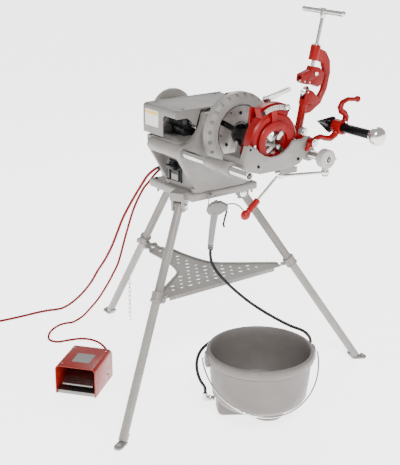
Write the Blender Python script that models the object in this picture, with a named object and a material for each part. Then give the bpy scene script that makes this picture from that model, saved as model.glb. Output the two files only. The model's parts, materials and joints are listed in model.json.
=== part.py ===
"""Pipe threading machine on a folding tripod stand, with foot switch and oiling bucket.

Axes: +X runs along the spindle from the rear centring wheel to the carriage, -Y is the operator's
side and +Z is up. Lengths are metres. Every piece is laid out around the tripod's centre line on
the floor, and the empty named machine carries the whole object to its own origin, the middle of
its footprint.
"""

import math

import bmesh
import bpy
from mathutils import Matrix, Vector

# Place of the tripod's centre line in the object's own frame.
TRIPOD_X = 0.0143
TRIPOD_Y = 0.0

GAP = 0.0003          # clearance between pieces that touch
RUNNING = 0.0006      # clearance of pieces that turn or slide in one another

# Folding tripod stand
LEG_AZIMUTHS = {"leg_end": 180.0, "leg_front": -60.0, "leg_back": 60.0}
FOOT_RADIUS = 0.560   # tripod centre to each foot
LEG_LEAN = math.atan(0.424 / 0.626)
LEG_PIVOT_Z = 0.614
LEG_TUBE_RADIUS = 0.01335
CLAMP_Z = 0.370
FOOT_THICKNESS = 0.006
STAND_TOP_Z = 0.660
STAND_X = (-0.105, 0.128)
STAND_Y = (-0.118, 0.142)
TRAY_Z = 0.352
TRAY_THICKNESS = 0.003
TRAY_HINGE_X = -0.272

# Machine head
SPINDLE_Z = 0.853
BASE_Z = STAND_TOP_Z + GAP
BASE_X = (-0.035, 0.120)
BASE_Y = (-0.100, 0.092)
BASE_TOP_Z = 0.820
WALL = 0.010
RAIL_Y = 0.150
RAIL_Z = 0.795
RAIL_RADIUS = 0.0127
RAIL_END_X = 0.434
BOSS_RADIUS = 0.0225
FRONT_WALL_X = (0.100, 0.125)
REAR_WALL_X = (-0.062, -0.037)
BEARING_RADIUS = 0.0448
SPINDLE_RADIUS = 0.033
SPINDLE_BORE = 0.0285
HOOD_X = (-0.074, 0.100)
HOOD_Y = (-0.157, 0.146)
HOOD_Z = (0.826, 0.915)
GEAR_TEETH = 36
PINION_TEETH = 12
TOOTH_MODULE = 0.002742
PINION_AZIMUTH = math.radians(167.0)
MOTOR_RADIUS = 0.030

# Chuck
RING_X = (0.172, 0.214)
RING_RADIUS = 0.121
FACE_RADIUS = 0.0850
JAW_ANGLES = (150.0, 270.0, 30.0)
JAW_WIDTH = 0.015
REAR_WHEEL_X = (-0.156, -0.134)
REAR_WHEEL_RADIUS = 0.078

# Carriage and its tools
BOWL_X = (0.290, 0.388)
BOWL_WALL = 0.008
TOOL_PIVOT = (0.1135, 0.845)      # y, z of the shaft that carries die head and reamer
DIE_HEAD_X = (0.326, 0.364)
DIE_HEAD_RADIUS = 0.088
DIE_ANGLES = (45.0, 135.0, 225.0, 315.0)
CUTTER_X = 0.285
CUTTER_PIVOT = (0.165, 0.850)    # y, z
CUTTER_LEAN = math.radians(12.9)
REAMER_ARM_X = 0.3975
REAMER_Y = 0.223
REAMER_Z = 0.876
LEVER_PIVOT = (0.420, 0.150)    # x, y
LEVER_Z = 0.7540
LEVER_PIN = (0.372, 0.020)       # x, y

# Oiling gun, bucket and foot switch
GUN_BASE = (0.140, -0.055)
GUN_FACING = math.radians(54.0)
GUN_PEG = (0.128, -0.0535, 0.650)
BUCKET_CENTRE = (0.381, -0.047)
BUCKET_HEIGHT = 0.228
EAR_AZIMUTH = math.radians(62.0)
BAIL_LEAN = math.radians(52.0)
SWITCH_FRONT = (-0.0585, -0.4415)
SWITCH_TURN = math.radians(38.5)
SWITCH_SIZE = (0.136, 0.165, 0.100)

# Cords and hose
CORD_DIAMETER = 0.009
FOOT_CORD_DIAMETER = 0.008
HOSE_DIAMETER = 0.0095
COIL_CENTRE = (-0.792, -0.455)
COIL_RADII = (0.0385, 0.0600)

X_AXIS = Vector((1, 0, 0))
Y_AXIS = Vector((0, 1, 0))
Z_AXIS = Vector((0, 0, 1))


# ---------------------------------------------------------------- modelling helpers

def clear_scene():
    for item in list(bpy.data.objects):
        bpy.data.objects.remove(item, do_unlink=True)


def to_mesh(shape):
    """Turn a bmesh into a closed mesh whose faces point outwards."""
    bmesh.ops.recalc_face_normals(shape, faces=shape.faces)
    mesh = bpy.data.meshes.new("shape")
    shape.to_mesh(mesh)
    shape.free()
    return mesh


def across(axis):
    """Two unit vectors square to an axis."""
    helper = Z_AXIS if abs(axis.z) < 0.9 else X_AXIS
    side = axis.cross(helper).normalized()
    return side, axis.cross(side).normalized()


def turned(start, axis, profile, segments=24):
    """Revolve a closed profile of (distance along, radius) pairs about an axis."""
    start = Vector(start)
    axis = Vector(axis).normalized()
    side, other = across(axis)
    shape = bmesh.new()
    rings = []
    open_bore = profile[0][1] > 0
    flat_start = not open_bore and profile[0][0] == profile[1][0]
    flat_end = not open_bore and profile[-1][0] == profile[-2][0]
    inner = profile[1 if flat_start else 0:-1 if flat_end else None]
    for along, radius in inner:
        middle = start + axis * along
        if radius == 0:
            rings.append([shape.verts.new(middle)])
            continue
        ring = []
        for step in range(segments):
            angle = 2 * math.pi * step / segments
            ring.append(shape.verts.new(middle + (side * math.cos(angle) + other * math.sin(angle)) * radius))
        rings.append(ring)
    pairs = list(zip(rings, rings[1:]))
    if open_bore:
        pairs.append((rings[-1], rings[0]))
    if flat_start:
        shape.faces.new(rings[0])
    if flat_end:
        shape.faces.new(rings[-1])
    for first, second in pairs:
        for step in range(segments):
            after = (step + 1) % segments
            corners = [first[step % len(first)], first[after % len(first)]]
            corners += [second[after % len(second)], second[step % len(second)]]
            unique = list(dict.fromkeys(corners))
            if len(unique) > 2:
                shape.faces.new(unique)
    return to_mesh(shape)


def rod(start, end, radius, end_radius=None, segments=16):
    start, end = Vector(start), Vector(end)
    length = (end - start).length
    last = radius if end_radius is None else end_radius
    return turned(start, end - start, [(0, 0), (0, radius), (length, last), (length, 0)], segments)


def pipe(start, end, radius, bore, segments=24):
    start, end = Vector(start), Vector(end)
    length = (end - start).length
    return turned(start, end - start, [(0, bore), (0, radius), (length, radius), (length, bore)], segments)


def ball(centre, radius, segments=12):
    half = segments // 2
    profile = []
    for step in range(half + 1):
        angle = math.pi * step / half
        profile.append((radius - radius * math.cos(angle), radius * math.sin(angle)))
    profile[0] = (0, 0)
    profile[-1] = (2 * radius, 0)
    return turned(Vector(centre) - X_AXIS * radius, X_AXIS, profile, segments)


def prism(outline, origin, u_axis, v_axis, depth):
    """Extrude a flat outline, given as (u, v) pairs, along the vector depth."""
    origin, depth = Vector(origin), Vector(depth)
    u_axis, v_axis = Vector(u_axis), Vector(v_axis)
    shape = bmesh.new()
    low = [shape.verts.new(origin + u_axis * u + v_axis * v) for u, v in outline]
    high = [shape.verts.new(origin + u_axis * u + v_axis * v + depth) for u, v in outline]
    shape.faces.new(low)
    shape.faces.new(high)
    for step in range(len(outline)):
        after = (step + 1) % len(outline)
        shape.faces.new([low[step], low[after], high[after], high[step]])
    return to_mesh(shape)


def slab(x_range, outline):
    """A plate square to the spindle: an outline of (y, z) pairs between two x values."""
    return prism(outline, (x_range[0], 0, 0), Y_AXIS, Z_AXIS, X_AXIS * (x_range[1] - x_range[0]))


def block(x_range, y_range, z_range):
    corners = [(x_range[0], y_range[0]), (x_range[1], y_range[0]), (x_range[1], y_range[1]), (x_range[0], y_range[1])]
    return prism(corners, (0, 0, z_range[0]), X_AXIS, Y_AXIS, Z_AXIS * (z_range[1] - z_range[0]))


def sweep(points, radii, segments=10):
    """A round bar along a line of points; radii is one radius or one for each point."""
    points = [Vector(point) for point in points]
    if not isinstance(radii, (list, tuple)):
        radii = [radii] * len(points)
    shape = bmesh.new()
    rings = []
    side = None
    for index, point in enumerate(points):
        before = points[max(index - 1, 0)]
        after = points[min(index + 1, len(points) - 1)]
        direction = (after - before).normalized()
        if side is None:
            side = across(direction)[0]
        side = (side - direction * side.dot(direction)).normalized()
        other = direction.cross(side)
        ring = []
        for step in range(segments):
            angle = 2 * math.pi * step / segments
            offset = (side * math.cos(angle) + other * math.sin(angle)) * radii[index]
            ring.append(shape.verts.new(point + offset))
        rings.append(ring)
    for first, second in zip(rings, rings[1:]):
        for step in range(segments):
            after = (step + 1) % segments
            shape.faces.new([first[step], first[after], second[after], second[step]])
    shape.faces.new(rings[0])
    shape.faces.new(rings[-1])
    return to_mesh(shape)


def softened(mesh, width, segments=1, least_angle=50.0):
    """Round off the edges that are sharper than least_angle."""
    shape = bmesh.new()
    shape.from_mesh(mesh)
    limit = math.radians(least_angle)
    edges = [edge for edge in shape.edges if len(edge.link_faces) == 2 and edge.calc_face_angle() > limit]
    bmesh.ops.bevel(shape, geom=edges, offset=width, segments=segments, profile=0.5, affect="EDGES")
    return to_mesh(shape)


def boolean(mesh, tool, operation):
    """Join or cut two closed meshes and give the result back as a mesh."""
    scene = bpy.context.scene.collection
    target = bpy.data.objects.new("target", mesh)
    cutter = bpy.data.objects.new("cutter", tool)
    scene.objects.link(target)
    scene.objects.link(cutter)
    modifier = target.modifiers.new("boolean", "BOOLEAN")
    modifier.operation = operation
    modifier.object = cutter
    graph = bpy.context.evaluated_depsgraph_get()
    result = bpy.data.meshes.new_from_object(target.evaluated_get(graph), depsgraph=graph)
    bpy.data.objects.remove(target)
    bpy.data.objects.remove(cutter)
    return result


def joined(first, *others):
    for other in others:
        first = boolean(first, other, "UNION")
    return first


def cut(first, *tools):
    for tool in tools:
        first = boolean(first, tool, "DIFFERENCE")
    return first


def material(name, colour, roughness, metallic):
    paint = bpy.data.materials.new(name)
    paint.use_nodes = True
    shader = paint.node_tree.nodes["Principled BSDF"]
    shader.inputs["Base Color"].default_value = (*colour, 1.0)
    shader.inputs["Roughness"].default_value = roughness
    shader.inputs["Metallic"].default_value = metallic
    return paint


def piece(name, mesh, look, pivot=(0, 0, 0)):
    """Name a solid, give it its material, and put its origin on its joint's axis."""
    pivot = Vector(pivot)
    mesh.transform(Matrix.Translation(-pivot))
    mesh.name = name
    mesh.shade_smooth()
    mesh.set_sharp_from_angle(angle=math.radians(35))
    mesh.materials.clear()
    mesh.materials.append(LOOKS[look])
    item = bpy.data.objects.new(name, mesh)
    item.parent = MACHINE
    item.location = pivot
    bpy.context.scene.collection.objects.link(item)
    return item


def circle_points(centre, radius, first, last, count):
    """Points on an arc between two angles in degrees, both ends included."""
    points = []
    for step in range(count):
        angle = math.radians(first + (last - first) * step / (count - 1))
        points.append((centre[0] + radius * math.cos(angle), centre[1] + radius * math.sin(angle)))
    return points


def smooth_line(points, spacing):
    """Read points a fixed distance apart from a smooth curve through the route's own points."""
    points = [Vector(point) for point in points]
    fine = []
    for index in range(len(points) - 1):
        a = points[max(index - 1, 0)]
        b, c = points[index], points[index + 1]
        d = points[min(index + 2, len(points) - 1)]
        for step in range(20):
            t = step / 20
            fine.append(0.5 * (2 * b + (c - a) * t + (2 * a - 5 * b + 4 * c - d) * t * t
                               + (3 * b - a - 3 * c + d) * t * t * t))
    fine.append(points[-1])
    length = sum((second - first).length for first, second in zip(fine, fine[1:]))
    count = max(int(round(length / spacing)), 2)
    step_length = length / count
    result = [fine[0]]
    walked = 0.0
    for first, second in zip(fine, fine[1:]):
        stretch = (second - first).length
        while walked + stretch >= step_length * len(result) and len(result) < count:
            share = (step_length * len(result) - walked) / stretch
            result.append(first.lerp(second, share))
        walked += stretch
    result.append(fine[-1])
    return result


def cord(name, route, diameter, spacing, look):
    """A cord's tube: a poly curve with a round bevel and closed ends."""
    points = smooth_line(route, spacing)
    lowest = diameter / 2 + GAP
    for point in points:
        point.z = max(point.z, lowest)
    curve = bpy.data.curves.new(name, "CURVE")
    curve.dimensions = "3D"
    curve.render_resolution_u = 0
    curve.use_fill_caps = True
    curve.bevel_depth = diameter / 2
    curve.bevel_resolution = 2
    spline = curve.splines.new("POLY")
    spline.points.add(len(points) - 1)
    for slot, point in zip(spline.points, points):
        slot.co = (*point, 1.0)
    curve.materials.append(LOOKS[look])
    item = bpy.data.objects.new(name, curve)
    item.parent = MACHINE
    bpy.context.scene.collection.objects.link(item)
    return item


# ---------------------------------------------------------------- stand

def leg_frame(azimuth):
    """Outward and tangent directions of a leg, and its pivot point."""
    angle = math.radians(azimuth)
    outward = Vector((math.cos(angle), math.sin(angle), 0))
    tangent = Vector((-math.sin(angle), math.cos(angle), 0))
    pivot = outward * (FOOT_RADIUS - LEG_PIVOT_Z * math.tan(LEG_LEAN)) + Z_AXIS * LEG_PIVOT_Z
    return outward, tangent, pivot


def make_leg(name, azimuth):
    outward, tangent, pivot = leg_frame(azimuth)
    down = outward * math.sin(LEG_LEAN) - Z_AXIS * math.cos(LEG_LEAN)
    length = (LEG_PIVOT_Z - 0.010) / math.cos(LEG_LEAN)
    eye = rod(pivot - tangent * 0.0125, pivot + tangent * 0.0125, 0.0132, segments=16)
    tube = rod(pivot, pivot + down * length, LEG_TUBE_RADIUS, segments=16)
    toe = outward * (FOOT_RADIUS - 0.014)
    half = 0.0135
    foot = prism([(0, -half), (0.036, -half), (0.046, -half * 0.55), (0.046, half * 0.55), (0.036, half), (0, half)],
                 toe, outward, tangent, Z_AXIS * FOOT_THICKNESS)
    bolt = rod(toe + outward * 0.030, toe + outward * 0.030 + Z_AXIS * 0.014, 0.006, segments=8)
    heel = prism([(-0.004, 0.0), (0.020, 0.0), (-0.006, 0.020), (-0.022, 0.020)],
                 toe - tangent * 0.010, outward, Z_AXIS, tangent * 0.020)
    clamp_centre = pivot + down * ((LEG_PIVOT_Z - CLAMP_Z) / math.cos(LEG_LEAN))
    clamp = rod(clamp_centre - down * 0.016, clamp_centre + down * 0.016, 0.0185, segments=16)
    shapes = [tube, clamp, foot, heel, bolt]
    if name == "leg_end":
        reach = -clamp_centre.x + TRAY_HINGE_X
        lug = block((clamp_centre.x, clamp_centre.x + reach), (-0.008, 0.008), (TRAY_Z - 0.004, TRAY_Z + 0.010))
        pin = rod((TRAY_HINGE_X, -0.026, TRAY_Z + 0.003), (TRAY_HINGE_X, 0.026, TRAY_Z + 0.003), 0.004, segments=12)
        shapes += [lug, pin]
    else:
        inward = clamp_centre - outward * 0.030 - Z_AXIS * 0.010
        shapes.append(rod(clamp_centre - Z_AXIS * 0.010, inward, 0.006, segments=8))
    solid = joined(eye, *shapes)
    bore = rod(pivot - tangent * 0.03, pivot + tangent * 0.03, 0.0050 + RUNNING, segments=12)
    piece(name, cut(solid, bore), "stand_paint", pivot)


def make_stand_top():
    low = STAND_TOP_Z - 0.026
    plate = softened(block(STAND_X, STAND_Y, (low, STAND_TOP_Z)), 0.006, 2)
    window = block((STAND_X[0] + 0.045, STAND_X[1] - 0.043), (STAND_Y[0] + 0.048, STAND_Y[1] - 0.047), (0.6, 0.7))
    shapes = []
    for azimuth in LEG_AZIMUTHS.values():
        outward, tangent, pivot = leg_frame(azimuth)
        start = pivot - outward * 0.026
        root = pivot - outward * 0.060
        tab = prism([(0, -0.023), (0.084, -0.023), (0.084, 0.023), (0, 0.023)],
                    (root.x, root.y, low), outward, tangent, Z_AXIS * 0.025)
        shapes.append(tab)
        for side in (-1, 1):
            inner = tangent * (0.0138 if side > 0 else -0.0208)
            cheek = prism([(0.008, -0.046), (0.042, -0.046), (0.048, 0.012), (0.002, 0.012)],
                          Vector((start.x, start.y, low + 0.010)) + inner, outward, Z_AXIS, tangent * 0.007)
            shapes.append(cheek)
        shapes.append(rod(pivot - tangent * 0.026, pivot + tangent * 0.026, 0.0050, segments=12))
    for place in ((-0.070, -0.118), (0.110, 0.120)):
        shapes.append(rod((place[0], place[1] + 0.012, low - 0.012), (place[0], place[1] + 0.012, low + 0.004), 0.004,
                          segments=8))
    peg_x, peg_y, peg_z = GUN_PEG
    shapes.append(rod((peg_x - 0.004, peg_y, peg_z), (peg_x + 0.014, peg_y, peg_z), 0.0026, segments=10))
    shapes.append(rod((peg_x + 0.0125, peg_y, peg_z), (peg_x + 0.0150, peg_y, peg_z), 0.0048, segments=10))
    piece("stand_top", joined(cut(plate, window), *shapes), "stand_paint")


def make_tray():
    hinge_z = TRAY_Z + 0.003
    half = [(-0.254, 0.020), (-0.225, 0.036), (-0.150, 0.040), (-0.070, 0.052), (-0.010, 0.074), (0.030, 0.122),
            (0.085, 0.200), (0.112, 0.238), (0.130, 0.246), (0.140, 0.235), (0.142, 0.120)]
    outline = [(x, -y) for x, y in half] + [(x, y) for x, y in reversed(half)]
    plate = prism(outline, (0, 0, TRAY_Z - TRAY_THICKNESS / 2), X_AXIS, Y_AXIS, Z_AXIS * TRAY_THICKNESS)
    lip = block((0.1385, 0.1415), (-0.205, 0.205), (TRAY_Z - 0.012, TRAY_Z + 0.0005))
    shapes = [lip]
    for side in (-1, 1):
        edge = [Vector((x, side * y, TRAY_Z + 0.005)) for x, y in half[1:8]]
        shapes.append(sweep(edge, 0.0045, 6))
        low, high = sorted((side * 0.010, side * 0.022))
        knuckle = pipe((TRAY_HINGE_X, low, hinge_z), (TRAY_HINGE_X, high, hinge_z), 0.0085, 0.004 + RUNNING, 12)
        strap = block((TRAY_HINGE_X + 0.0065, -0.232), (low, high), (TRAY_Z - 0.0015, TRAY_Z + 0.0035))
        shapes += [joined(knuckle, strap)]
    piece("tray", joined(plate, *shapes), "stand_paint", (TRAY_HINGE_X, 0, hinge_z))


def make_chain():
    top = Vector((-0.4140, 0, 0.178))
    eye = pipe(top - Y_AXIS * 0.0015, top + Y_AXIS * 0.0015, 0.0055, 0.0025, 10)
    drop = sweep([top - Z_AXIS * 0.0045, top - Z_AXIS * 0.150], 0.0028, 8)
    hook = sweep([top + Vector((x, 0, -z)) for x, z in ((0, 0.148), (0.003, 0.156), (0.009, 0.160), (0.015, 0.155))],
                 0.0022, 8)
    piece("leg_chain", joined(eye, drop, hook), "bright_steel", top)


# ---------------------------------------------------------------- machine head

def base_section():
    """Outline of the end gussets: out to the two rail bosses and in again at the foot."""
    front = [(-0.090, BASE_Z), (-0.100, BASE_Z + 0.012), (-0.163, 0.778), (-0.1715, 0.792), (-0.165, 0.811),
             (-0.151, 0.8172), (-0.130, BASE_TOP_Z)]
    rear = [(0.130, BASE_TOP_Z), (0.151, 0.8172), (0.165, 0.811), (0.1715, 0.792), (0.163, 0.778),
            (0.098, BASE_Z + 0.012), (0.090, BASE_Z)]
    return front + rear


def wall_section(top):
    """Outline of the bearing walls: a concave sweep from the bosses up to the lid."""
    left = circle_points((-0.151, 0.900), 0.083, -90, -14, 6)
    right = [(-y, z) for y, z in reversed(left)]
    return [(-0.151, 0.795), *left, (-0.066, top), (0.066, top), *right, (0.151, 0.795)]


def make_base():
    top = 0.904
    spindle = (0, SPINDLE_Z)
    body = block(BASE_X, BASE_Y, (BASE_Z, BASE_TOP_Z))
    shapes = [slab((BASE_X[0], BASE_X[0] + 0.009), base_section()),
              slab((FRONT_WALL_X[0] + 0.008, FRONT_WALL_X[1]), base_section()),
              slab(FRONT_WALL_X, wall_section(top)),
              slab(REAR_WALL_X, wall_section(top)),
              block((REAR_WALL_X[0], BASE_X[0] + 0.005), (-0.080, 0.080), (0.795, BASE_TOP_Z)),
              block((BASE_X[0], FRONT_WALL_X[0] + 0.002), (-0.152, 0.152), (0.808, BASE_TOP_Z))]
    for side in (-1, 1):
        y = side * RAIL_Y
        shapes.append(rod((BASE_X[0] + 0.005, y, RAIL_Z), (0.129, y, RAIL_Z), BOSS_RADIUS, segments=16))
        for x in (BASE_X[0] + 0.014, BASE_X[1] - 0.010):
            shapes.append(rod((x, side * 0.094, BASE_Z), (x, side * 0.094, BASE_Z + 0.014), 0.013, segments=12))
    solid = joined(body, *shapes)
    tools = [block((BASE_X[0] + WALL, BASE_X[1] - WALL), (BASE_Y[0] + WALL, BASE_Y[1] - WALL),
                   (BASE_Z - 0.01, 0.800)),
             rod((-0.10, *spindle), (0.16, *spindle), BEARING_RADIUS + GAP, segments=32),
             rod((0.058, *spindle), (0.090, *spindle), 0.056, segments=22)]
    for side in (-1, 1):
        y = side * RAIL_Y
        tools.append(rod((-0.06, y, RAIL_Z), (0.16, y, RAIL_Z), RAIL_RADIUS + GAP, segments=16))
    solid = cut(solid, *tools)
    piece("base_housing", solid, "cast_paint")


def make_hood():
    x0, x1 = HOOD_X
    y0, y1 = HOOD_Y
    low, high = HOOD_Z
    sheet = 0.0035
    roof = block((x0, x1), (y0, y1), (high - sheet, high))
    front = prism([(x0, low), (x0 + 0.105, low), (x0 + 0.105, high - 0.024), (x1, high - 0.024), (x1, high), (x0, high)],
                  (0, y0, 0), X_AXIS, Z_AXIS, Y_AXIS * sheet)
    side = [(y0, high), (y0, high - 0.024), (y0 + 0.042, high - 0.024), (y0 + 0.074, high - 0.052), (-0.066, high)]
    right = slab((x1 - sheet, x1), side)
    left = slab((x0, x0 + sheet), [(y0, low), (y0 + 0.030, low), (-0.067, high - 0.020), (-0.067, high), (y0, high)])
    back = block((x0, x1), (y1 - sheet, y1), (high - 0.060, high))
    solid = joined(roof, front, right, left, back)
    piece("motor_cover", solid, "cast_paint")


def gear(centre, x_range, teeth, bore, first_tooth):
    """A spur gear about the X direction with straight-sided teeth and running backlash."""
    pitch = TOOTH_MODULE * teeth / 2
    tip, root = pitch + 0.9 * TOOTH_MODULE, pitch - 1.15 * TOOTH_MODULE
    step = 2 * math.pi / teeth
    outline = []
    for tooth in range(teeth):
        middle = first_tooth + tooth * step
        for offset, radius in ((-0.31, root), (-0.13, tip), (0.13, tip), (0.31, root)):
            angle = middle + offset * step
            outline.append((centre[0] + radius * math.cos(angle), centre[1] + radius * math.sin(angle)))
    solid = slab(x_range, outline)
    if bore:
        solid = cut(solid, rod((x_range[0] - 0.01, *centre), (x_range[1] + 0.01, *centre), bore, segments=32))
    return solid


def pinion_centre():
    distance = TOOTH_MODULE * (GEAR_TEETH + PINION_TEETH) / 2 + 0.0001
    return (distance * math.cos(PINION_AZIMUTH), SPINDLE_Z + distance * math.sin(PINION_AZIMUTH))


def make_drive():
    centre = pinion_centre()
    pinion_step = 2 * math.pi / PINION_TEETH
    gap_first = PINION_AZIMUTH + math.pi + pinion_step / 2
    wheel = gear((0, SPINDLE_Z), (0.064, 0.084), GEAR_TEETH, SPINDLE_RADIUS + GAP, PINION_AZIMUTH)
    piece("spindle_gear", wheel, "oiled_steel", (0.074, 0, SPINDLE_Z))
    pinion = gear(centre, (0.062, 0.086), PINION_TEETH, 0, gap_first)
    shaft = rod((0.0545, *centre), (0.070, *centre), 0.006, segments=12)
    piece("motor_pinion", joined(pinion, shaft), "oiled_steel", (0.074, *centre))
    case = turned((-0.034, *centre), X_AXIS,
                  [(0, 0), (0, 0.022), (0.006, MOTOR_RADIUS), (0.080, MOTOR_RADIUS), (0.088, 0.020), (0.088, 0)], 24)
    foot = block((-0.024, 0.040), (centre[0] - 0.020, centre[0] + 0.018), (BASE_TOP_Z + GAP, 0.845))
    piece("motor", joined(case, foot), "black_enamel")


def make_spindle():
    piece("spindle_tube", pipe((REAR_WHEEL_X[0] - 0.004, 0, SPINDLE_Z), (0.130, 0, SPINDLE_Z), SPINDLE_RADIUS,
                               SPINDLE_BORE, 32), "oiled_steel", (0, 0, SPINDLE_Z))
    for name, x_range in (("front_bearing", (0.104, 0.122)), ("rear_bearing", (-0.058, -0.040))):
        piece(name, pipe((x_range[0], 0, SPINDLE_Z), (x_range[1], 0, SPINDLE_Z), BEARING_RADIUS,
                         SPINDLE_RADIUS + 0.0001 + GAP, 32), "bronze")
    profile = [(0, SPINDLE_BORE), (0, 0.052), (0.020, 0.060), (0.030, FACE_RADIUS), (0.0777, FACE_RADIUS),
               (0.0777, SPINDLE_BORE)]
    body = turned((0.1303, 0, SPINDLE_Z), X_AXIS, profile, 36)
    slots = []
    for angle in JAW_ANGLES:
        outward, tangent = spoke(angle)
        slots.append(jaw_box(outward, tangent, (0.015, 0.090), JAW_WIDTH / 2 + RUNNING, (0.1885, 0.220)))
    piece("chuck_body", cut(body, *slots), "chuck_face", (0.17, 0, SPINDLE_Z))


def spoke(angle):
    """Outward and tangent directions around the spindle, from an angle above +Y."""
    turn = math.radians(angle)
    outward = Vector((0, math.cos(turn), math.sin(turn)))
    return outward, Vector((0, -math.sin(turn), math.cos(turn)))


def jaw_box(outward, tangent, reach, half_width, x_range):
    corners = [(reach[0], -half_width), (reach[1], -half_width), (reach[1], half_width), (reach[0], half_width)]
    return prism(corners, (x_range[0], 0, SPINDLE_Z), outward, tangent, X_AXIS * (x_range[1] - x_range[0]))


def make_chuck():
    inner = FACE_RADIUS + 0.0008
    profile = [(0, inner), (0, 0.112), (0.005, 0.117), (0.011, RING_RADIUS), (0.031, RING_RADIUS), (0.037, 0.1165),
               (0.042, 0.110), (0.042, 0.094), (0.039, 0.088), (0.039, inner)]
    piece("hammer_ring", turned((RING_X[0], 0, SPINDLE_Z), X_AXIS, profile, 40), "ring_paint", (0.19, 0, SPINDLE_Z))
    for number, angle in enumerate(JAW_ANGLES, 1):
        outward, tangent = spoke(angle)
        shape = jaw_box(outward, tangent, (0.024, 0.070), JAW_WIDTH / 2, (0.1892, 0.2098))
        piece(f"chuck_jaw_{number}", shape, "black_oxide", outward * 0.047 + Vector((0.199, 0, SPINDLE_Z)))
    hub = SPINDLE_RADIUS + RUNNING
    profile = [(0, hub), (0, 0.046), (0.003, 0.048), (0.006, 0.056), (0.004, REAR_WHEEL_RADIUS),
               (0.022, REAR_WHEEL_RADIUS), (0.022, 0.056), (0.016, 0.048), (0.022, 0.046), (0.022, hub)]
    piece("rear_wheel", turned((REAR_WHEEL_X[0], 0, SPINDLE_Z), X_AXIS, profile, 28), "ring_paint",
          (-0.145, 0, SPINDLE_Z))


def make_rails():
    for name, y, start in (("rail_front", -RAIL_Y, -0.020), ("rail_rear", RAIL_Y, -0.020)):
        piece(name, pipe((start, y, RAIL_Z), (RAIL_END_X, y, RAIL_Z), RAIL_RADIUS, 0.0095, 16), "bright_steel")
    x, y = LEVER_PIVOT
    collar = turned((x - 0.0145, RAIL_Y, RAIL_Z), X_AXIS,
                    [(0, RAIL_RADIUS + GAP), (0, 0.0255), (0.003, 0.0285), (0.026, 0.0285), (0.029, 0.0255),
                     (0.029, RAIL_RADIUS + GAP)], 20)
    stud = rod((x, y, 0.7420), (x, y, 0.772), 0.0058, segments=12)
    nut = rod((x, y, 0.7430), (x, y, 0.7489), 0.0095, segments=6)
    lug = rod((x, y, 0.7591), (x, y, 0.772), 0.010, segments=12)
    screw = rod((x, y + 0.026, RAIL_Z - 0.004), (x, y + 0.042, RAIL_Z - 0.008), 0.0035, segments=8)
    piece("rail_clamp", joined(collar, lug, stud, nut, screw), "clamp_paint")


def make_switch():
    up = Z_AXIS
    out = -Y_AXIS
    centre = Vector((0.019, BASE_Y[0] - GAP, 0.706))

    def panel(width, length, depth):
        corners = [(width[0], length[0]), (width[1], length[0]), (width[1], length[1]), (width[0], length[1])]
        return prism(corners, centre + out * depth[0], X_AXIS, up, out * (depth[1] - depth[0]))

    plate = softened(panel((-0.033, 0.033), (-0.0305, 0.036), (0, 0.004)), 0.001)
    rims = [panel((side - 0.002, side + 0.002), (-0.028, 0.010), (0.002, 0.009)) for side in (-0.024, 0.024)]
    piece("switch_plate", joined(plate, *rims), "black_plastic")
    start = centre + up * 0.019 + out * (0.004 + GAP)
    skirt = turned(start, out, [(0, 0), (0, 0.015), (0.010, 0.013), (0.010, 0)], 16)
    wing = panel((-0.019, 0.019), (0.012, 0.026), (0.010, 0.026))
    piece("switch_knob", joined(skirt, softened(wing, 0.003)), "black_plastic", start)


def make_gland():
    plate = block((BASE_X[0] - 0.004 - GAP, BASE_X[0] - GAP), (-0.116, -0.064), (0.694, 0.724))
    shapes = []
    for y, diameter in ((-0.103, CORD_DIAMETER), (-0.077, FOOT_CORD_DIAMETER)):
        start = Vector((BASE_X[0] - 0.0045, y, 0.709))
        direction = Vector((-0.94, -0.10, -0.32)).normalized()
        shapes.append(rod(start, start + direction * 0.030, 0.0105, diameter / 2 + 0.0012, segments=12))
    piece("cord_gland", joined(plate, *shapes), "black_rubber")


# ---------------------------------------------------------------- carriage

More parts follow.
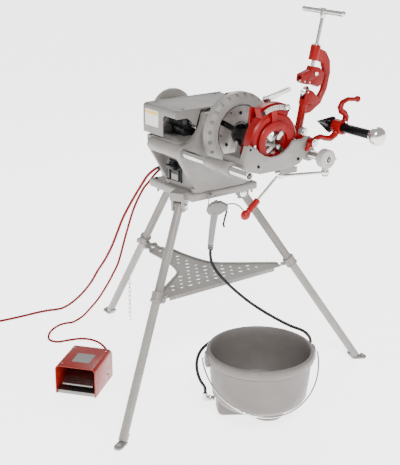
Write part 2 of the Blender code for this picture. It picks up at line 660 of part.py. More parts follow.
def make_carriage():
    x0, x1 = BOWL_X
    outer = [(-0.118, 0.860), (-0.136, 0.812), (-0.128, 0.796), (-0.098, 0.784), (-0.066, 0.774), (0.050, 0.774),
             (0.082, 0.784), (0.102, 0.804), (0.126, 0.822), (0.1285, 0.850), (0.120, 0.860), (0.100, 0.862),
             (0.088, 0.856), (-0.098, 0.858), (-0.108, 0.868)]
    inner = [(-0.110, 0.90), (-0.122, 0.812), (-0.118, 0.804), (-0.094, 0.792), (-0.064, 0.782), (0.048, 0.782),
             (0.076, 0.791), (0.092, 0.808), (0.093, 0.90)]
    bowl = cut(softened(slab((x0, x1), outer), 0.008, 2, 60),
               slab((x0 + BOWL_WALL, x1 - BOWL_WALL), inner))
    mouth = rod((x0 - 0.02, 0, 0.897), (x0 + 0.014, 0, 0.897), 0.094, segments=22)
    dip = rod((x1 - 0.014, -0.020, 0.905), (x1 + 0.02, -0.020, 0.905), 0.086, segments=22)
    side_gap = block((x0 + BOWL_WALL, x1 - BOWL_WALL), (0.092, 0.140), (0.8285, 0.900))
    low_side = block((x0 - 0.02, x1 - 0.020), (-0.180, -0.086), (0.824, 0.900))
    bowl = cut(bowl, mouth, dip, side_gap, low_side)
    front = turned((0.244, -RAIL_Y, RAIL_Z), X_AXIS, [(0, 0), (0, 0.0165), (0.095, 0.0200), (0.107, 0.0220),
                                                      (0.111, 0.0210), (0.111, 0)], 16)
    rear = rod((0.300, RAIL_Y, RAIL_Z), (0.352, RAIL_Y, RAIL_Z), 0.0215, segments=16)
    tail = rod((0.252, RAIL_Y, RAIL_Z), (0.305, RAIL_Y, RAIL_Z), 0.0195, segments=16)
    web = block((0.304, 0.346), (0.080, 0.142), (0.786, 0.812))
    y, z = CUTTER_PIVOT
    shapes = [web, front, rear, tail]
    for low, high in ((0.2625, 0.2725), (0.2975, 0.3065)):
        shapes.append(slab((low, high), [(y - 0.030, 0.795), (y - 0.002, 0.795), (y + 0.014, z - 0.004),
                                         (y + 0.013, z + 0.010), (y, z + 0.016), (y - 0.013, z + 0.010),
                                         (y - 0.016, z - 0.006)]))
    shapes.append(rod((0.2605, y, z), (0.3090, y, z), 0.0060, segments=16))
    shapes.append(rod((x0 + 0.003, *TOOL_PIVOT), (0.4100, *TOOL_PIVOT), 0.0060, segments=16))
    pin_x, pin_y = LEVER_PIN
    for side in (-1, 1):
        low, high = sorted((pin_x + side * 0.0095, pin_x + side * 0.0140))
        shapes.append(block((low, high), (pin_y - 0.012, pin_y + 0.050), (0.7610, 0.7770)))
    solid = joined(bowl, *shapes)
    bores = [rod((0.20, side * RAIL_Y, RAIL_Z), (0.42, side * RAIL_Y, RAIL_Z), RAIL_RADIUS + 0.0004, segments=16)
             for side in (-1, 1)]
    piece("carriage", cut(solid, *bores), "cast_paint", (0.34, 0, RAIL_Z))


def lever_line():
    """Plan direction from the lever's pivot towards the operator."""
    start = Vector((*LEVER_PIVOT, LEVER_Z))
    pin = Vector((*LEVER_PIN, LEVER_Z))
    return start, pin, (pin - start).normalized()


def make_lever():
    start, pin, along = lever_line()
    eye = pipe(start - Z_AXIS * 0.0048, start + Z_AXIS * 0.0048, 0.0125, 0.0058 + RUNNING, 14)
    slope = (along * 0.655 - Z_AXIS * 0.756).normalized()
    bend = pin + along * 0.010
    tip = bend + slope * 0.140
    arm = sweep([start + along * 0.011, start + along * 0.060, bend, bend + slope * 0.016, tip], 0.0046, 10)
    boss = rod(pin - Z_AXIS * 0.0075, pin + Z_AXIS * 0.0055, 0.0080, segments=16)
    finger = rod(pin, pin + Z_AXIS * 0.0185, 0.0038, segments=12)
    piece("carriage_lever", joined(eye, arm, boss, finger), "bright_steel", start)
    grip_start = bend + slope * 0.088
    grip = turned(grip_start, slope, [(0, 0), (0, 0.0085), (0.004, 0.0102), (0.042, 0.0102), (0.046, 0.0090),
                                      (0.050, 0.0120), (0.058, 0.0138), (0.066, 0.0120), (0.072, 0.0060),
                                      (0.0735, 0)], 16)
    socket = rod(grip_start - slope * 0.01, tip + slope * 0.0002, 0.0046 + GAP, segments=10)
    piece("lever_grip", cut(grip, socket), "grip_red", start)


# ---------------------------------------------------------------- die head

def make_die_head():
    x0, x1 = DIE_HEAD_X
    centre = (0, SPINDLE_Z)
    y, z = TOOL_PIVOT
    disc = turned((x0, *centre), X_AXIS, [(0, 0), (0, 0.082), (0.005, DIE_HEAD_RADIUS), (0.032, DIE_HEAD_RADIUS),
                                          (0.038, 0.081), (0.038, 0)], 22)
    crown = slab((x0 + 0.008, x1 - 0.004), circle_points(centre, 0.115, 60, 118, 9) + [(-0.040, 0.905), (0.045, 0.905)])
    knuckle = rod((x0, y, z), (x1, y, z), 0.0135, segments=16)
    web = slab((x0 + 0.004, x1 - 0.004), [(0.060, z - 0.014), (y, z - 0.012), (y, z + 0.0125), (0.060, z + 0.040)])
    post = rod((0.3030, -0.035, 0.917), (x0 + 0.010, -0.035, 0.917), 0.0070, segments=12)
    arm = slab((0.3000, 0.3090), [(-0.043, 0.952), (-0.028, 0.950), (-0.024, 0.906), (-0.031, 0.885), (-0.056, 0.838),
                                  (-0.060, 0.814), (-0.070, 0.811), (-0.076, 0.822), (-0.068, 0.846),
                                  (-0.046, 0.892), (-0.048, 0.918)])
    solid = joined(disc, crown, knuckle, web, post, arm)
    tools = [block((x0 - 0.01, x1 + 0.01), (-0.10, 0.10), (0.70, 0.7850)),
             rod((x0 - 0.02, *centre), (x1 + 0.02, *centre), 0.034, segments=26),
             rod((x0 - 0.02, y, z), (x1 + 0.02, y, z), 0.0060 + RUNNING, segments=16)]
    for angle in DIE_ANGLES:
        outward, tangent = spoke(angle)
        tools.append(jaw_box(outward, tangent, (0.010, 0.064), 0.0083, (x1 - 0.018, x1 + 0.02)))
    piece("die_head", cut(solid, *tools), "tool_red", (0.345, *TOOL_PIVOT))
    start = x1 - 0.0174
    for number, angle in enumerate(DIE_ANGLES, 1):
        outward, tangent = spoke(angle)
        outline = [(0.0560, -0.0078), (0.0560, 0.0078), (0.0175, 0.0078), (0.0124, 0.0030), (0.0124, -0.0030),
                   (0.0175, -0.0078)]
        shape = prism(outline, (start, *centre), outward, tangent, X_AXIS * 0.0190)
        piece(f"die_{number}", shape, "die_steel", outward * 0.036 + Vector((start + 0.009, *centre)))
    start = x1 + 0.0023
    cam = turned((start, *centre), X_AXIS, [(0, 0.042), (0, 0.0645), (0.003, 0.0655), (0.0060, 0.062), (0.0060, 0.042)],
                 36)
    scale = slab((start, start + 0.0035), circle_points(centre, 0.1110, 62, 122, 9)
                 + circle_points(centre, 0.0960, 122, 62, 9))
    link = jaw_box(*spoke(96), (0.060, 0.098), 0.010, (start, start + 0.0035))
    piece("cam_plate", joined(cam, scale, link), "tool_red", (start + 0.003, *centre))
    start = x0 - 0.0110
    ring = turned((start, *centre), X_AXIS, [(0, 0.040), (0, 0.058), (0.0075, 0.058), (0.0075, 0.040)], 22)
    stem = jaw_box(*spoke(90), (0.050, 0.124), 0.0075, (start + 0.0005, start + 0.0070))
    bar = slab((start + 0.0005, start + 0.0070), [(-0.012, 0.966), (0.006, 0.962), (0.092, 0.985), (0.095, 0.994),
                                                  (0.086, 0.998), (-0.006, 0.981)])
    piece("throw_lever", joined(ring, stem, bar), "bright_steel", (start, *centre))


# ---------------------------------------------------------------- cutter

def cutter_point(u, p, x=0.0):
    """A point on the raised cutter: u along its screw from the pivot, p behind it, x off its plane."""
    y, z = CUTTER_PIVOT
    return Vector((CUTTER_X + x, y + u * math.sin(CUTTER_LEAN) + p * math.cos(CUTTER_LEAN),
                   z + u * math.cos(CUTTER_LEAN) - p * math.sin(CUTTER_LEAN)))


U_AXIS = Vector((0, math.sin(CUTTER_LEAN), math.cos(CUTTER_LEAN)))
P_AXIS = Vector((0, math.cos(CUTTER_LEAN), -math.sin(CUTTER_LEAN)))
ROLLER_PLACES = ((0.148, -0.029), (0.148, -0.009))
WHEEL_PLACE = (0.1185, -0.006)


def cutter_plate(outline, half_thickness):
    return prism(outline, cutter_point(0, 0, -half_thickness), U_AXIS, P_AXIS, X_AXIS * 2 * half_thickness)


def cutter_pin(place, half_length, radius, segments=12):
    return rod(cutter_point(*place, -half_length), cutter_point(*place, half_length), radius, segments=segments)


def make_cutter():
    pivot = cutter_point(0, 0)
    eye = cutter_pin((0, 0), 0.0115, 0.0150, 14)
    barrel = rod(cutter_point(0.008, -0.004), cutter_point(0.096, -0.006), 0.0118, segments=14)
    outer = [(0.050, -0.004), (0.060, 0.026), (0.092, 0.060), (0.139, 0.074), (0.187, 0.074), (0.222, 0.063),
             (0.245, 0.040), (0.254, 0.000)]
    inner = [(0.218, 0.000), (0.210, 0.034), (0.176, 0.055), (0.131, 0.055), (0.100, 0.042), (0.084, 0.014),
             (0.084, -0.004)]
    bow = softened(cutter_plate(outer + inner, 0.0085), 0.003, 1)
    boss = rod(cutter_point(0.213, -0.002), cutter_point(0.258, -0.002), 0.0150, segments=14)
    shapes = [barrel, bow, boss]
    for side in (-1, 1):
        inner_face = 0.0078 if side > 0 else -0.0118
        shapes.append(prism([(0.080, -0.014), (0.122, -0.014), (0.126, 0.002), (0.122, 0.016), (0.104, 0.046),
                             (0.086, 0.030)], cutter_point(0, 0, inner_face), U_AXIS, P_AXIS, X_AXIS * 0.004))
    solid = joined(eye, *shapes)
    tools = [cutter_pin((0, 0), 0.03, 0.0060 + RUNNING, 16),
             rod(cutter_point(0.18, 0), cutter_point(0.30, 0), 0.0058 + RUNNING, segments=16),
             cutter_pin(WHEEL_PLACE, 0.03, 0.0030 + RUNNING),
             cutter_plate([(0.0965, -0.030), (0.150, -0.030), (0.150, 0.016), (0.0965, 0.016)], 0.0074)]
    piece("cutter_frame", cut(solid, *tools), "tool_red", pivot)
    wheel = [(0, 0), (0, 0.0030), (0.0055, 0.0030), (0.0055, 0.0080), (0.0085, 0.0100), (0.0120, 0.0175),
             (0.0155, 0.0100), (0.0185, 0.0080), (0.0185, 0.0030), (0.0240, 0.0030), (0.0240, 0)]
    piece("cutter_wheel", turned(cutter_point(*WHEEL_PLACE, -0.0120), X_AXIS, wheel, 16), "bright_steel",
          cutter_point(*WHEEL_PLACE))
    block_outline = [(0.142, 0.006), (0.138, 0.030), (0.150, 0.044), (0.184, 0.046), (0.196, 0.020), (0.196, -0.010),
                     (0.184, -0.012), (0.166, -0.045), (0.146, -0.043), (0.140, -0.030), (0.142, -0.006)]
    block_solid = softened(cutter_plate(block_outline, 0.0130), 0.002, 1)
    roller_space = cutter_plate([(0.100, -0.060), (0.1605, -0.060), (0.1605, 0.0035), (0.100, 0.0035)], 0.0095)
    tools = [roller_space] + [cutter_pin(place, 0.03, 0.0028 + RUNNING) for place in ROLLER_PLACES]
    tools.append(cutter_plate([(0.10, 0.0105), (0.1515, 0.0105), (0.1515, 0.060), (0.10, 0.060)], 0.0130 + GAP))
    piece("cutter_slide", cut(block_solid, *tools[:3]), "tool_red", cutter_point(0.170, 0))
    for number, place in enumerate(ROLLER_PLACES, 1):
        profile = [(0, 0), (0, 0.0028), (0.0041, 0.0028), (0.0041, 0.0088), (0.0219, 0.0088), (0.0219, 0.0028),
                   (0.0260, 0.0028), (0.0260, 0)]
        piece(f"cutter_roller_{number}", turned(cutter_point(*place, -0.0130), X_AXIS, profile, 16),
              "bright_steel", cutter_point(*place))
    top = 0.358
    screw = rod(cutter_point(0.196 + GAP, 0), cutter_point(top, 0), 0.0056, segments=16)
    hub = rod(cutter_point(top - 0.018, 0), cutter_point(top + 0.004, 0), 0.0080, 0.0090, segments=16)
    turn = math.radians(10.6)
    bar_direction = X_AXIS * math.cos(turn) + P_AXIS * math.sin(turn)
    bar = turned(cutter_point(top, 0) - bar_direction * 0.0760, bar_direction,
                 [(0, 0), (0, 0.0070), (0.003, 0.0088), (0.149, 0.0088), (0.152, 0.0070), (0.152, 0)], 16)
    piece("cutter_screw", joined(screw, hub, bar), "bright_steel", cutter_point(top, 0))


# ---------------------------------------------------------------- reamer

def make_reamer():
    y, z = TOOL_PIVOT
    x = REAMER_ARM_X
    line = [(y, z), (0.128, 0.854), (0.145, 0.857), (0.166, 0.850), (0.186, 0.846), (0.204, 0.855), (0.214, 0.866)]
    lower = sweep([Vector((x, *point)) for point in line], [0.0078, 0.0080, 0.0080, 0.0082, 0.0090, 0.0100, 0.0100], 10)
    tail = sweep([Vector((x, *point)) for point in ((y, z), (0.101, 0.842), (0.093, 0.822))],
                 [0.0078, 0.0070, 0.0062], 10)
    handle_line = [(0.236, 0.884), (0.244, 0.892), (0.247, 0.904), (0.240, 0.915), (0.227, 0.922), (0.221, 0.934),
                   (0.229, 0.948), (0.250, 0.955), (0.286, 0.951)]
    handle = sweep([Vector((x, *point)) for point in handle_line],
                   [0.0105, 0.0100, 0.0095, 0.0095, 0.0095, 0.0090, 0.0080, 0.0070, 0.0060], 10)
    eye = rod((x - 0.0088, y, z), (x + 0.0088, y, z), 0.0140, segments=12)
    hub = rod((0.380, REAMER_Y, REAMER_Z), (0.413, REAMER_Y, REAMER_Z), 0.0215, segments=16)
    knob = ball((x, 0.291, 0.951), 0.0100)
    solid = joined(eye, lower, tail, handle, hub, knob)
    tools = [rod((0.34, y, z), (0.44, y, z), 0.0060 + RUNNING, segments=16),
             rod((0.34, REAMER_Y, REAMER_Z), (0.44, REAMER_Y, REAMER_Z), 0.0135 + RUNNING, segments=16)]
    piece("reamer_arm", cut(solid, *tools), "tool_red", (x, y, z))
    middle = (REAMER_Y, REAMER_Z)
    shaft = rod((0.3723, *middle), (0.5230, *middle), 0.0135, segments=12)
    piece("reamer_shaft", shaft, "black_oxide", (0.45, *middle))
    flutes = 5
    outline = []
    for flute in range(flutes):
        turn = 2 * math.pi * flute / flutes
        for offset, scale in ((0.0, 1.0), (0.30, 1.0), (0.62, 0.62), (0.85, 0.62)):
            outline.append((turn + offset * 2 * math.pi / flutes, scale))
    shape = bmesh.new()
    tip = shape.verts.new((0.3000, *middle))
    rings = []
    for along, radius in ((0.3640, 0.0255), (0.3720, 0.0240)):
        rings.append([shape.verts.new((along, middle[0] + radius * scale * math.cos(turn),
                                       middle[1] + radius * scale * math.sin(turn))) for turn, scale in outline])
    count = len(outline)
    for step in range(count):
        after = (step + 1) % count
        shape.faces.new([tip, rings[0][step], rings[0][after]])
        shape.faces.new([rings[0][step], rings[1][step], rings[1][after], rings[0][after]])
    shape.faces.new(rings[1])
    piece("reamer_cone", to_mesh(shape), "black_oxide", (0.34, *middle))
    profile = [(0, 0), (0, 0.0150), (0.010, 0.0150), (0.012, 0.0235), (0.020, 0.0275), (0.032, 0.0270),
               (0.040, 0.0200), (0.043, 0.0100), (0.044, 0)]
    piece("reamer_knob", turned((0.5233, *middle), X_AXIS, profile, 16), "bright_steel", (0.54, *middle))


# ---------------------------------------------------------------- oiling gun and bucket

def gun_point(a, z, side=0.0):
    forward = Vector((math.cos(GUN_FACING), math.sin(GUN_FACING), 0))
    aside = Vector((-forward.y, forward.x, 0))
    return Vector((*GUN_BASE, 0)) + forward * a + aside * side + Z_AXIS * z


def make_gun():
    forward = gun_point(1, 0) - gun_point(0, 0)
    aside = gun_point(0, 0, 1) - gun_point(0, 0, 0)
    handle = sweep([gun_point(0.0, 0.475), gun_point(0.001, 0.500), gun_point(0.006, 0.550), gun_point(0.012, 0.596)],
                   [0.0080, 0.0095, 0.0105, 0.0120], 12)
    head = prism([(-0.006, 0.590), (0.026, 0.590), (0.040, 0.600), (0.052, 0.606), (0.053, 0.618), (0.044, 0.625),
                  (0.030, 0.632), (0.004, 0.628), (-0.010, 0.616), (-0.014, 0.602)],
                 gun_point(0, 0, -0.0105), forward, Z_AXIS, aside * 0.021)
    slot = prism([(0.0405, 0.580), (0.070, 0.580), (0.070, 0.6186), (0.0405, 0.6186)],
                 gun_point(0, 0, -0.0066), forward, Z_AXIS, aside * 0.0132)
    head = cut(softened(head, 0.0025), slot)
    pin = rod(gun_point(0.0465, 0.6125, -0.0090), gun_point(0.0465, 0.6125, 0.0090), 0.0016, segments=10)
    cap = rod(gun_point(0.018, 0.624), gun_point(0.014, 0.634), 0.0085, 0.0060, segments=12)
    spout = sweep([gun_point(a, z) for a, z in ((0.046, 0.6212), (0.056, 0.6235), (0.072, 0.624), (0.088, 0.616),
                                                (0.100, 0.602))], 0.0024, 8)
    peg_x, peg_y, peg_z = GUN_PEG
    x = peg_x + 0.008
    hook = sweep([gun_point(0.004, 0.612), gun_point(-0.008, 0.620), (x, peg_y - 0.0062, peg_z - 0.012),
                  (x, peg_y - 0.0062, peg_z + 0.0010), (x, peg_y - 0.0030, peg_z + 0.0048),
                  (x, peg_y + 0.0030, peg_z + 0.0048), (x, peg_y + 0.0062, peg_z + 0.0010),
                  (x, peg_y + 0.0062, peg_z - 0.0040)], 0.0018, 8)
    piece("gun_body", joined(handle, head, cap, spout, hook, pin), "gun_plastic")
    pivot = gun_point(0.0465, 0.6125)
    lever = sweep([gun_point(a, z) for a, z in ((0.0475, 0.6090), (0.0485, 0.598), (0.0440, 0.580), (0.0390, 0.558),
                                                (0.0420, 0.548))], 0.0032, 8)
    ear = rod(gun_point(0.0465, 0.6125, -0.0060), gun_point(0.0465, 0.6125, 0.0060), 0.0048, segments=12)
    bore = rod(gun_point(0.0465, 0.6125, -0.02), gun_point(0.0465, 0.6125, 0.02), 0.0016 + RUNNING, segments=10)
    piece("gun_trigger", cut(joined(lever, ear), bore), "black_plastic", pivot)


def bucket_point(reach, lateral, z):
    """A point near the bucket: lateral runs from ear to ear, reach towards the bail's rest side."""
    lateral_axis = Vector((math.cos(EAR_AZIMUTH), math.sin(EAR_AZIMUTH), 0))
    reach_axis = Vector((math.sin(EAR_AZIMUTH), -math.cos(EAR_AZIMUTH), 0))
    return Vector((*BUCKET_CENTRE, z)) + lateral_axis * lateral + reach_axis * reach


def make_bucket():
    height = BUCKET_HEIGHT
    profile = [(0.050, 0), (0.050, 0.080), (0.058, 0.115), (0.070, 0.135), (0.085, 0.1445), (0.150, 0.1520),
               (0.196, 0.1545), (0.202, 0.1600), (0.212, 0.1645), (0.222, 0.1630), (height, 0.1570),
               (0.224, 0.1505), (0.200, 0.1485), (0.150, 0.1460), (0.088, 0.1385), (0.076, 0.1290), (0.066, 0.1100),
               (0.058, 0.078), (0.058, 0)]
    tub = turned((*BUCKET_CENTRE, 0), Z_AXIS, profile, 26)
    sump_centre = bucket_point(0.0, 0.026, 0)
    sump = turned(sump_centre, Z_AXIS, [(0, 0), (0, 0.046), (0.006, 0.052), (0.054, 0.060), (0.054, 0)], 18)
    pocket = turned(sump_centre + Z_AXIS * 0.007, Z_AXIS, [(0, 0), (0, 0.042), (0.063, 0.051), (0.063, 0)], 18)
    lateral_axis = bucket_point(0, 1, 0) - bucket_point(0, 0, 0)
    reach_axis = bucket_point(1, 0, 0) - bucket_point(0, 0, 0)
    outlet = prism([(-0.132, 0.026), (-0.120, 0.018), (-0.010, 0.012), (-0.010, 0.056), (-0.132, 0.074)],
                   bucket_point(-0.026, 0, 0), lateral_axis, Z_AXIS, reach_axis * 0.052)
    shapes = [sump, softened(outlet, 0.008, 2)]
    axis_z = height - 0.022
    for side in (-1, 1):
        start = bucket_point(-0.012, side * 0.158, axis_z - 0.013)
        shapes.append(prism([(0, 0), (0.024, 0), (0.024, 0.026), (0, 0.026)], start, reach_axis, Z_AXIS,
                            lateral_axis * side * 0.011))
    solid = joined(tub, *shapes)
    bores = [rod(bucket_point(0, side * 0.15, axis_z), bucket_point(0, side * 0.19, axis_z), 0.0034, segments=10)
             for side in (-1, 1)]
    piece("bucket", cut(solid, pocket, *bores), "bucket_plastic")
    points = [bucket_point(0, -0.1655, axis_z), bucket_point(0, -0.178, axis_z)]
    for step in range(1, 20):
        angle = math.pi * step / 20
        reach = 0.205 * math.sin(angle)
        points.append(bucket_point(reach * math.sin(BAIL_LEAN), -0.178 * math.cos(angle),
                                   axis_z - reach * math.cos(BAIL_LEAN)))
    points += [bucket_point(0, 0.178, axis_z), bucket_point(0, 0.1655, axis_z)]
    piece("bucket_bail", sweep(points, 0.0024, 8), "bright_steel", bucket_point(0, 0, axis_z))


def fitting_line():
    outward = Vector((-0.603, -0.797, 0)).normalized()
    return Vector((*BUCKET_CENTRE, 0.056)), outward


def make_fitting():
    centre, outward = fitting_line()
    start = centre + outward * 0.1365
    elbow = centre + outward * 0.166
    flange = rod(start + outward * 0.012, start + outward * 0.018, 0.0110, segments=6)
    barb = rod(elbow - Z_AXIS * 0.006, elbow + Z_AXIS * 0.018, 0.0075, segments=12)
    piece("hose_fitting", joined(rod(start, elbow, 0.0080, segments=12), flange, barb), "bright_steel")


# ---------------------------------------------------------------- foot switch

def switch_point(across_it, back, z):
    width = Vector((math.cos(SWITCH_TURN), math.sin(SWITCH_TURN), 0))
    depth = Vector((-math.sin(SWITCH_TURN), math.cos(SWITCH_TURN), 0))
    return Vector((*SWITCH_FRONT, z)) + width * across_it + depth * back


def switch_box(across_range, back_range, z_range):
    width = switch_point(1, 0, 0) - switch_point(0, 0, 0)
    depth = switch_point(0, 1, 0) - switch_point(0, 0, 0)
    corners = [(across_range[0], back_range[0]), (across_range[1], back_range[0]),
               (across_range[1], back_range[1]), (across_range[0], back_range[1])]
    return prism(corners, (*SWITCH_FRONT, z_range[0]), width, depth, Z_AXIS * (z_range[1] - z_range[0]))


def arch(half, height, radius, base):
    """Outline of a cover as seen from its mouth: straight sides and round top corners."""
    right = circle_points((half - radius, height - radius), radius, 0, 90, 5)
    left = [(-x, z) for x, z in reversed(right)]
    return [(-half, base), (half, base), *right, *left]


def make_foot_switch():
    width, depth, height = SWITCH_SIZE
    half = width / 2
    sheet = 0.003
    across_axis = switch_point(1, 0, 0) - switch_point(0, 0, 0)
    depth_axis = switch_point(0, 1, 0) - switch_point(0, 0, 0)
    shell = prism(arch(half, height, 0.014, 0.0), switch_point(0, 0, 0), across_axis, Z_AXIS, depth_axis * depth)
    back = prism([(depth - 0.016, height + 0.01), (depth + 0.02, height + 0.01), (depth + 0.02, height - 0.018),
                  (depth, height - 0.018)], switch_point(-half - 0.01, 0, 0), depth_axis, Z_AXIS,
                 across_axis * (width + 0.02))
    hollow = prism(arch(half - sheet, height - sheet, 0.011, -0.02), switch_point(0, -0.02, 0), across_axis, Z_AXIS,
                   depth_axis * (depth - sheet + 0.02))
    hollow_back = prism([(depth - 0.018, height), (depth + 0.02, height), (depth + 0.02, height - 0.0235),
                         (depth - 0.0025, height - 0.0235)], switch_point(-half - 0.01, 0, 0), depth_axis, Z_AXIS,
                        across_axis * (width + 0.02))
    hollow = cut(hollow, hollow_back)
    shell = cut(shell, back)
    cable_hole = rod(switch_point(0.020, depth - 0.02, 0.030), switch_point(0.020, depth + 0.02, 0.030), 0.0088,
                     segments=12)
    piece("foot_switch_cover", cut(shell, hollow, cable_hole), "switch_orange")
    base = switch_box((-half + sheet + GAP, half - sheet - GAP), (0.006, depth - sheet - GAP), (0, 0.012))
    hub = switch_box((-0.030, 0.030), (depth - 0.062, depth - 0.020), (0.006, 0.040))
    pivot = rod(switch_point(-0.046, depth - 0.034, 0.046), switch_point(0.046, depth - 0.034, 0.046), 0.0035,
                segments=12)
    collar = rod(switch_point(-0.006, depth - 0.034, 0.036), switch_point(-0.006, depth - 0.034, 0.046), 0.003,
                 segments=8)
    lead = rod(switch_point(0.020, depth - 0.030, 0.030), switch_point(0.020, depth + 0.016, 0.030), 0.0080, 0.0055,
               segments=12)
    piece("foot_switch_base", joined(base, hub, pivot, collar, lead), "dark_steel")
    pivot_place = switch_point(0, depth - 0.034, 0.046)
    plate_side = [(0.018, 0.026), (0.018, 0.031), (depth - 0.064, 0.056), (depth - 0.030, 0.0565),
                  (depth - 0.030, 0.0515), (depth - 0.064, 0.0510)]
    plate = prism(plate_side, switch_point(-0.052, 0, 0), depth_axis, Z_AXIS, across_axis * 0.104)
    shapes = []
    for place in (-0.042, 0.034):
        knuckle = pipe(switch_point(place, depth - 0.034, 0.046), switch_point(place + 0.008, depth - 0.034, 0.046),
                       0.0080, 0.0035 + RUNNING, 16)
        shapes.append(knuckle)
    piece("foot_pedal", joined(plate, *shapes), "dark_steel", pivot_place)


# ---------------------------------------------------------------- cords and hose

POWER_ROUTE = [(-0.0688, -0.1061, 0.6990), (-0.0800, -0.1073, 0.6952), (-0.113, -0.116, 0.667), (-0.150, -0.120, 0.622),
               (-0.191, -0.120, 0.574), (-0.228, -0.120, 0.528), (-0.265, -0.120, 0.478), (-0.300, -0.120, 0.420),
               (-0.336, -0.120, 0.361), (-0.382, -0.120, 0.299), (-0.435, -0.120, 0.239), (-0.495, -0.120, 0.167),
               (-0.560, -0.122, 0.103), (-0.616, -0.129, 0.054), (-0.664, -0.142, 0.018), (-0.694, -0.166, 0.0048),
               (-0.707, -0.215, 0.0048), (-0.711, -0.280, 0.0048), (-0.716, -0.340, 0.0048), (-0.7215, -0.385, 0.0048),
               (-0.7255, -0.420, 0.0048), (-0.7271, -0.455, 0.0048)]
FOOT_ROUTE = [(-0.0688, -0.0801, 0.6990), (-0.0800, -0.0813, 0.6952), (-0.110, -0.087, 0.670), (-0.141, -0.094, 0.634),
              (-0.169, -0.100, 0.601), (-0.213, -0.107, 0.527), (-0.256, -0.113, 0.423), (-0.294, -0.120, 0.317),
              (-0.329, -0.122, 0.261), (-0.368, -0.124, 0.206), (-0.425, -0.128, 0.134), (-0.481, -0.134, 0.074),
              (-0.522, -0.146, 0.0300), (-0.552, -0.172, 0.0043), (-0.560, -0.212, 0.0043), (-0.541, -0.256, 0.0043),
              (-0.508, -0.291, 0.0043), (-0.468, -0.310, 0.0043), (-0.437, -0.296, 0.0043), (-0.425, -0.256, 0.0043),
              (-0.412, -0.218, 0.0043), (-0.386, -0.192, 0.0043), (-0.346, -0.180, 0.0043), (-0.300, -0.184, 0.0043),
              (-0.256, -0.198, 0.0060), (-0.222, -0.220, 0.0140), (-0.1950, -0.2520, 0.0250),
              (-0.1745, -0.2765, 0.0298), (-0.1664, -0.2867, 0.0300)]
HOSE_ROUTE = [(0.1400, -0.0550, 0.4745), (0.1402, -0.0552, 0.455), (0.1450, -0.0520, 0.430), (0.1590, -0.0420, 0.402),
              (0.1780, -0.0270, 0.376), (0.2060, -0.0060, 0.346), (0.2440, 0.0180, 0.316), (0.2830, 0.0410, 0.293),
              (0.3230, 0.0640, 0.274), (0.3600, 0.0890, 0.257), (0.3900, 0.1170, 0.246), (0.4020, 0.1380, 0.230),
              (0.3900, 0.1480, 0.212), (0.3600, 0.1440, 0.200), (0.3180, 0.1300, 0.196), (0.2800, 0.1100, 0.196),
              (0.2480, 0.0770, 0.196), (0.2220, 0.0300, 0.197), (0.2070, -0.0200, 0.199), (0.2050, -0.0720, 0.200),
              (0.2120, -0.1180, 0.196), (0.2240, -0.1570, 0.184), (0.2420, -0.1830, 0.163), (0.2590, -0.1920, 0.137),
              (0.2720, -0.1900, 0.114), (0.2795, -0.1818, 0.0970), (0.2809, -0.1793, 0.0860),
              (0.2809, -0.1793, 0.0752)]


def make_cords():
    cord("power_cord", POWER_ROUTE, CORD_DIAMETER, CORD_DIAMETER * 2.9, "cord_red")
    cord("foot_switch_cord", FOOT_ROUTE, FOOT_CORD_DIAMETER, FOOT_CORD_DIAMETER * 2.9, "cord_red")
    cord("oil_hose", HOSE_ROUTE, HOSE_DIAMETER, HOSE_DIAMETER * 2.6, "black_rubber")
    inner, outer = COIL_RADII
    height = CORD_DIAMETER * 2
    profile = [(0.0003, inner + 0.002), (0.0003, outer - 0.002), (0.0023, outer), (height - 0.002, outer),
               (height, outer - 0.002), (height, inner + 0.002), (height - 0.002, inner), (0.0023, inner)]
    piece("power_cord_coil", turned((*COIL_CENTRE, 0), Z_AXIS, profile, 32), "cord_red")
    tail = Vector((COIL_CENTRE[0] + 0.012, COIL_CENTRE[1] - outer - 0.0125, 0.012))
    heading = -X_AXIS
    relief = rod(tail, tail + heading * 0.030, 0.0062, 0.0090, segments=12)
    body = softened(prism([(-0.013, -0.0105), (0.013, -0.0105), (0.013, 0.012), (-0.013, 0.012)],
                          tail + heading * 0.026, Y_AXIS, Z_AXIS, heading * 0.034), 0.003)
    shapes = [relief]
    for offset, drop in ((-0.0064, 0.004), (0.0064, 0.004)):
        shapes.append(block((tail.x - 0.077, tail.x - 0.058),
                            (tail.y + offset - 0.0008, tail.y + offset + 0.0008), (0.013, 0.013 + drop + 0.002)))
    shapes.append(rod(tail + heading * 0.058 - Z_AXIS * 0.005, tail + heading * 0.079 - Z_AXIS * 0.005, 0.0024,
                      segments=10))
    piece("power_plug", joined(body, *shapes), "black_rubber")


# ---------------------------------------------------------------- whole object

clear_scene()
MACHINE = bpy.data.objects.new("machine", None)
MACHINE.location = (TRIPOD_X, TRIPOD_Y, 0)
bpy.context.scene.collection.objects.link(MACHINE)

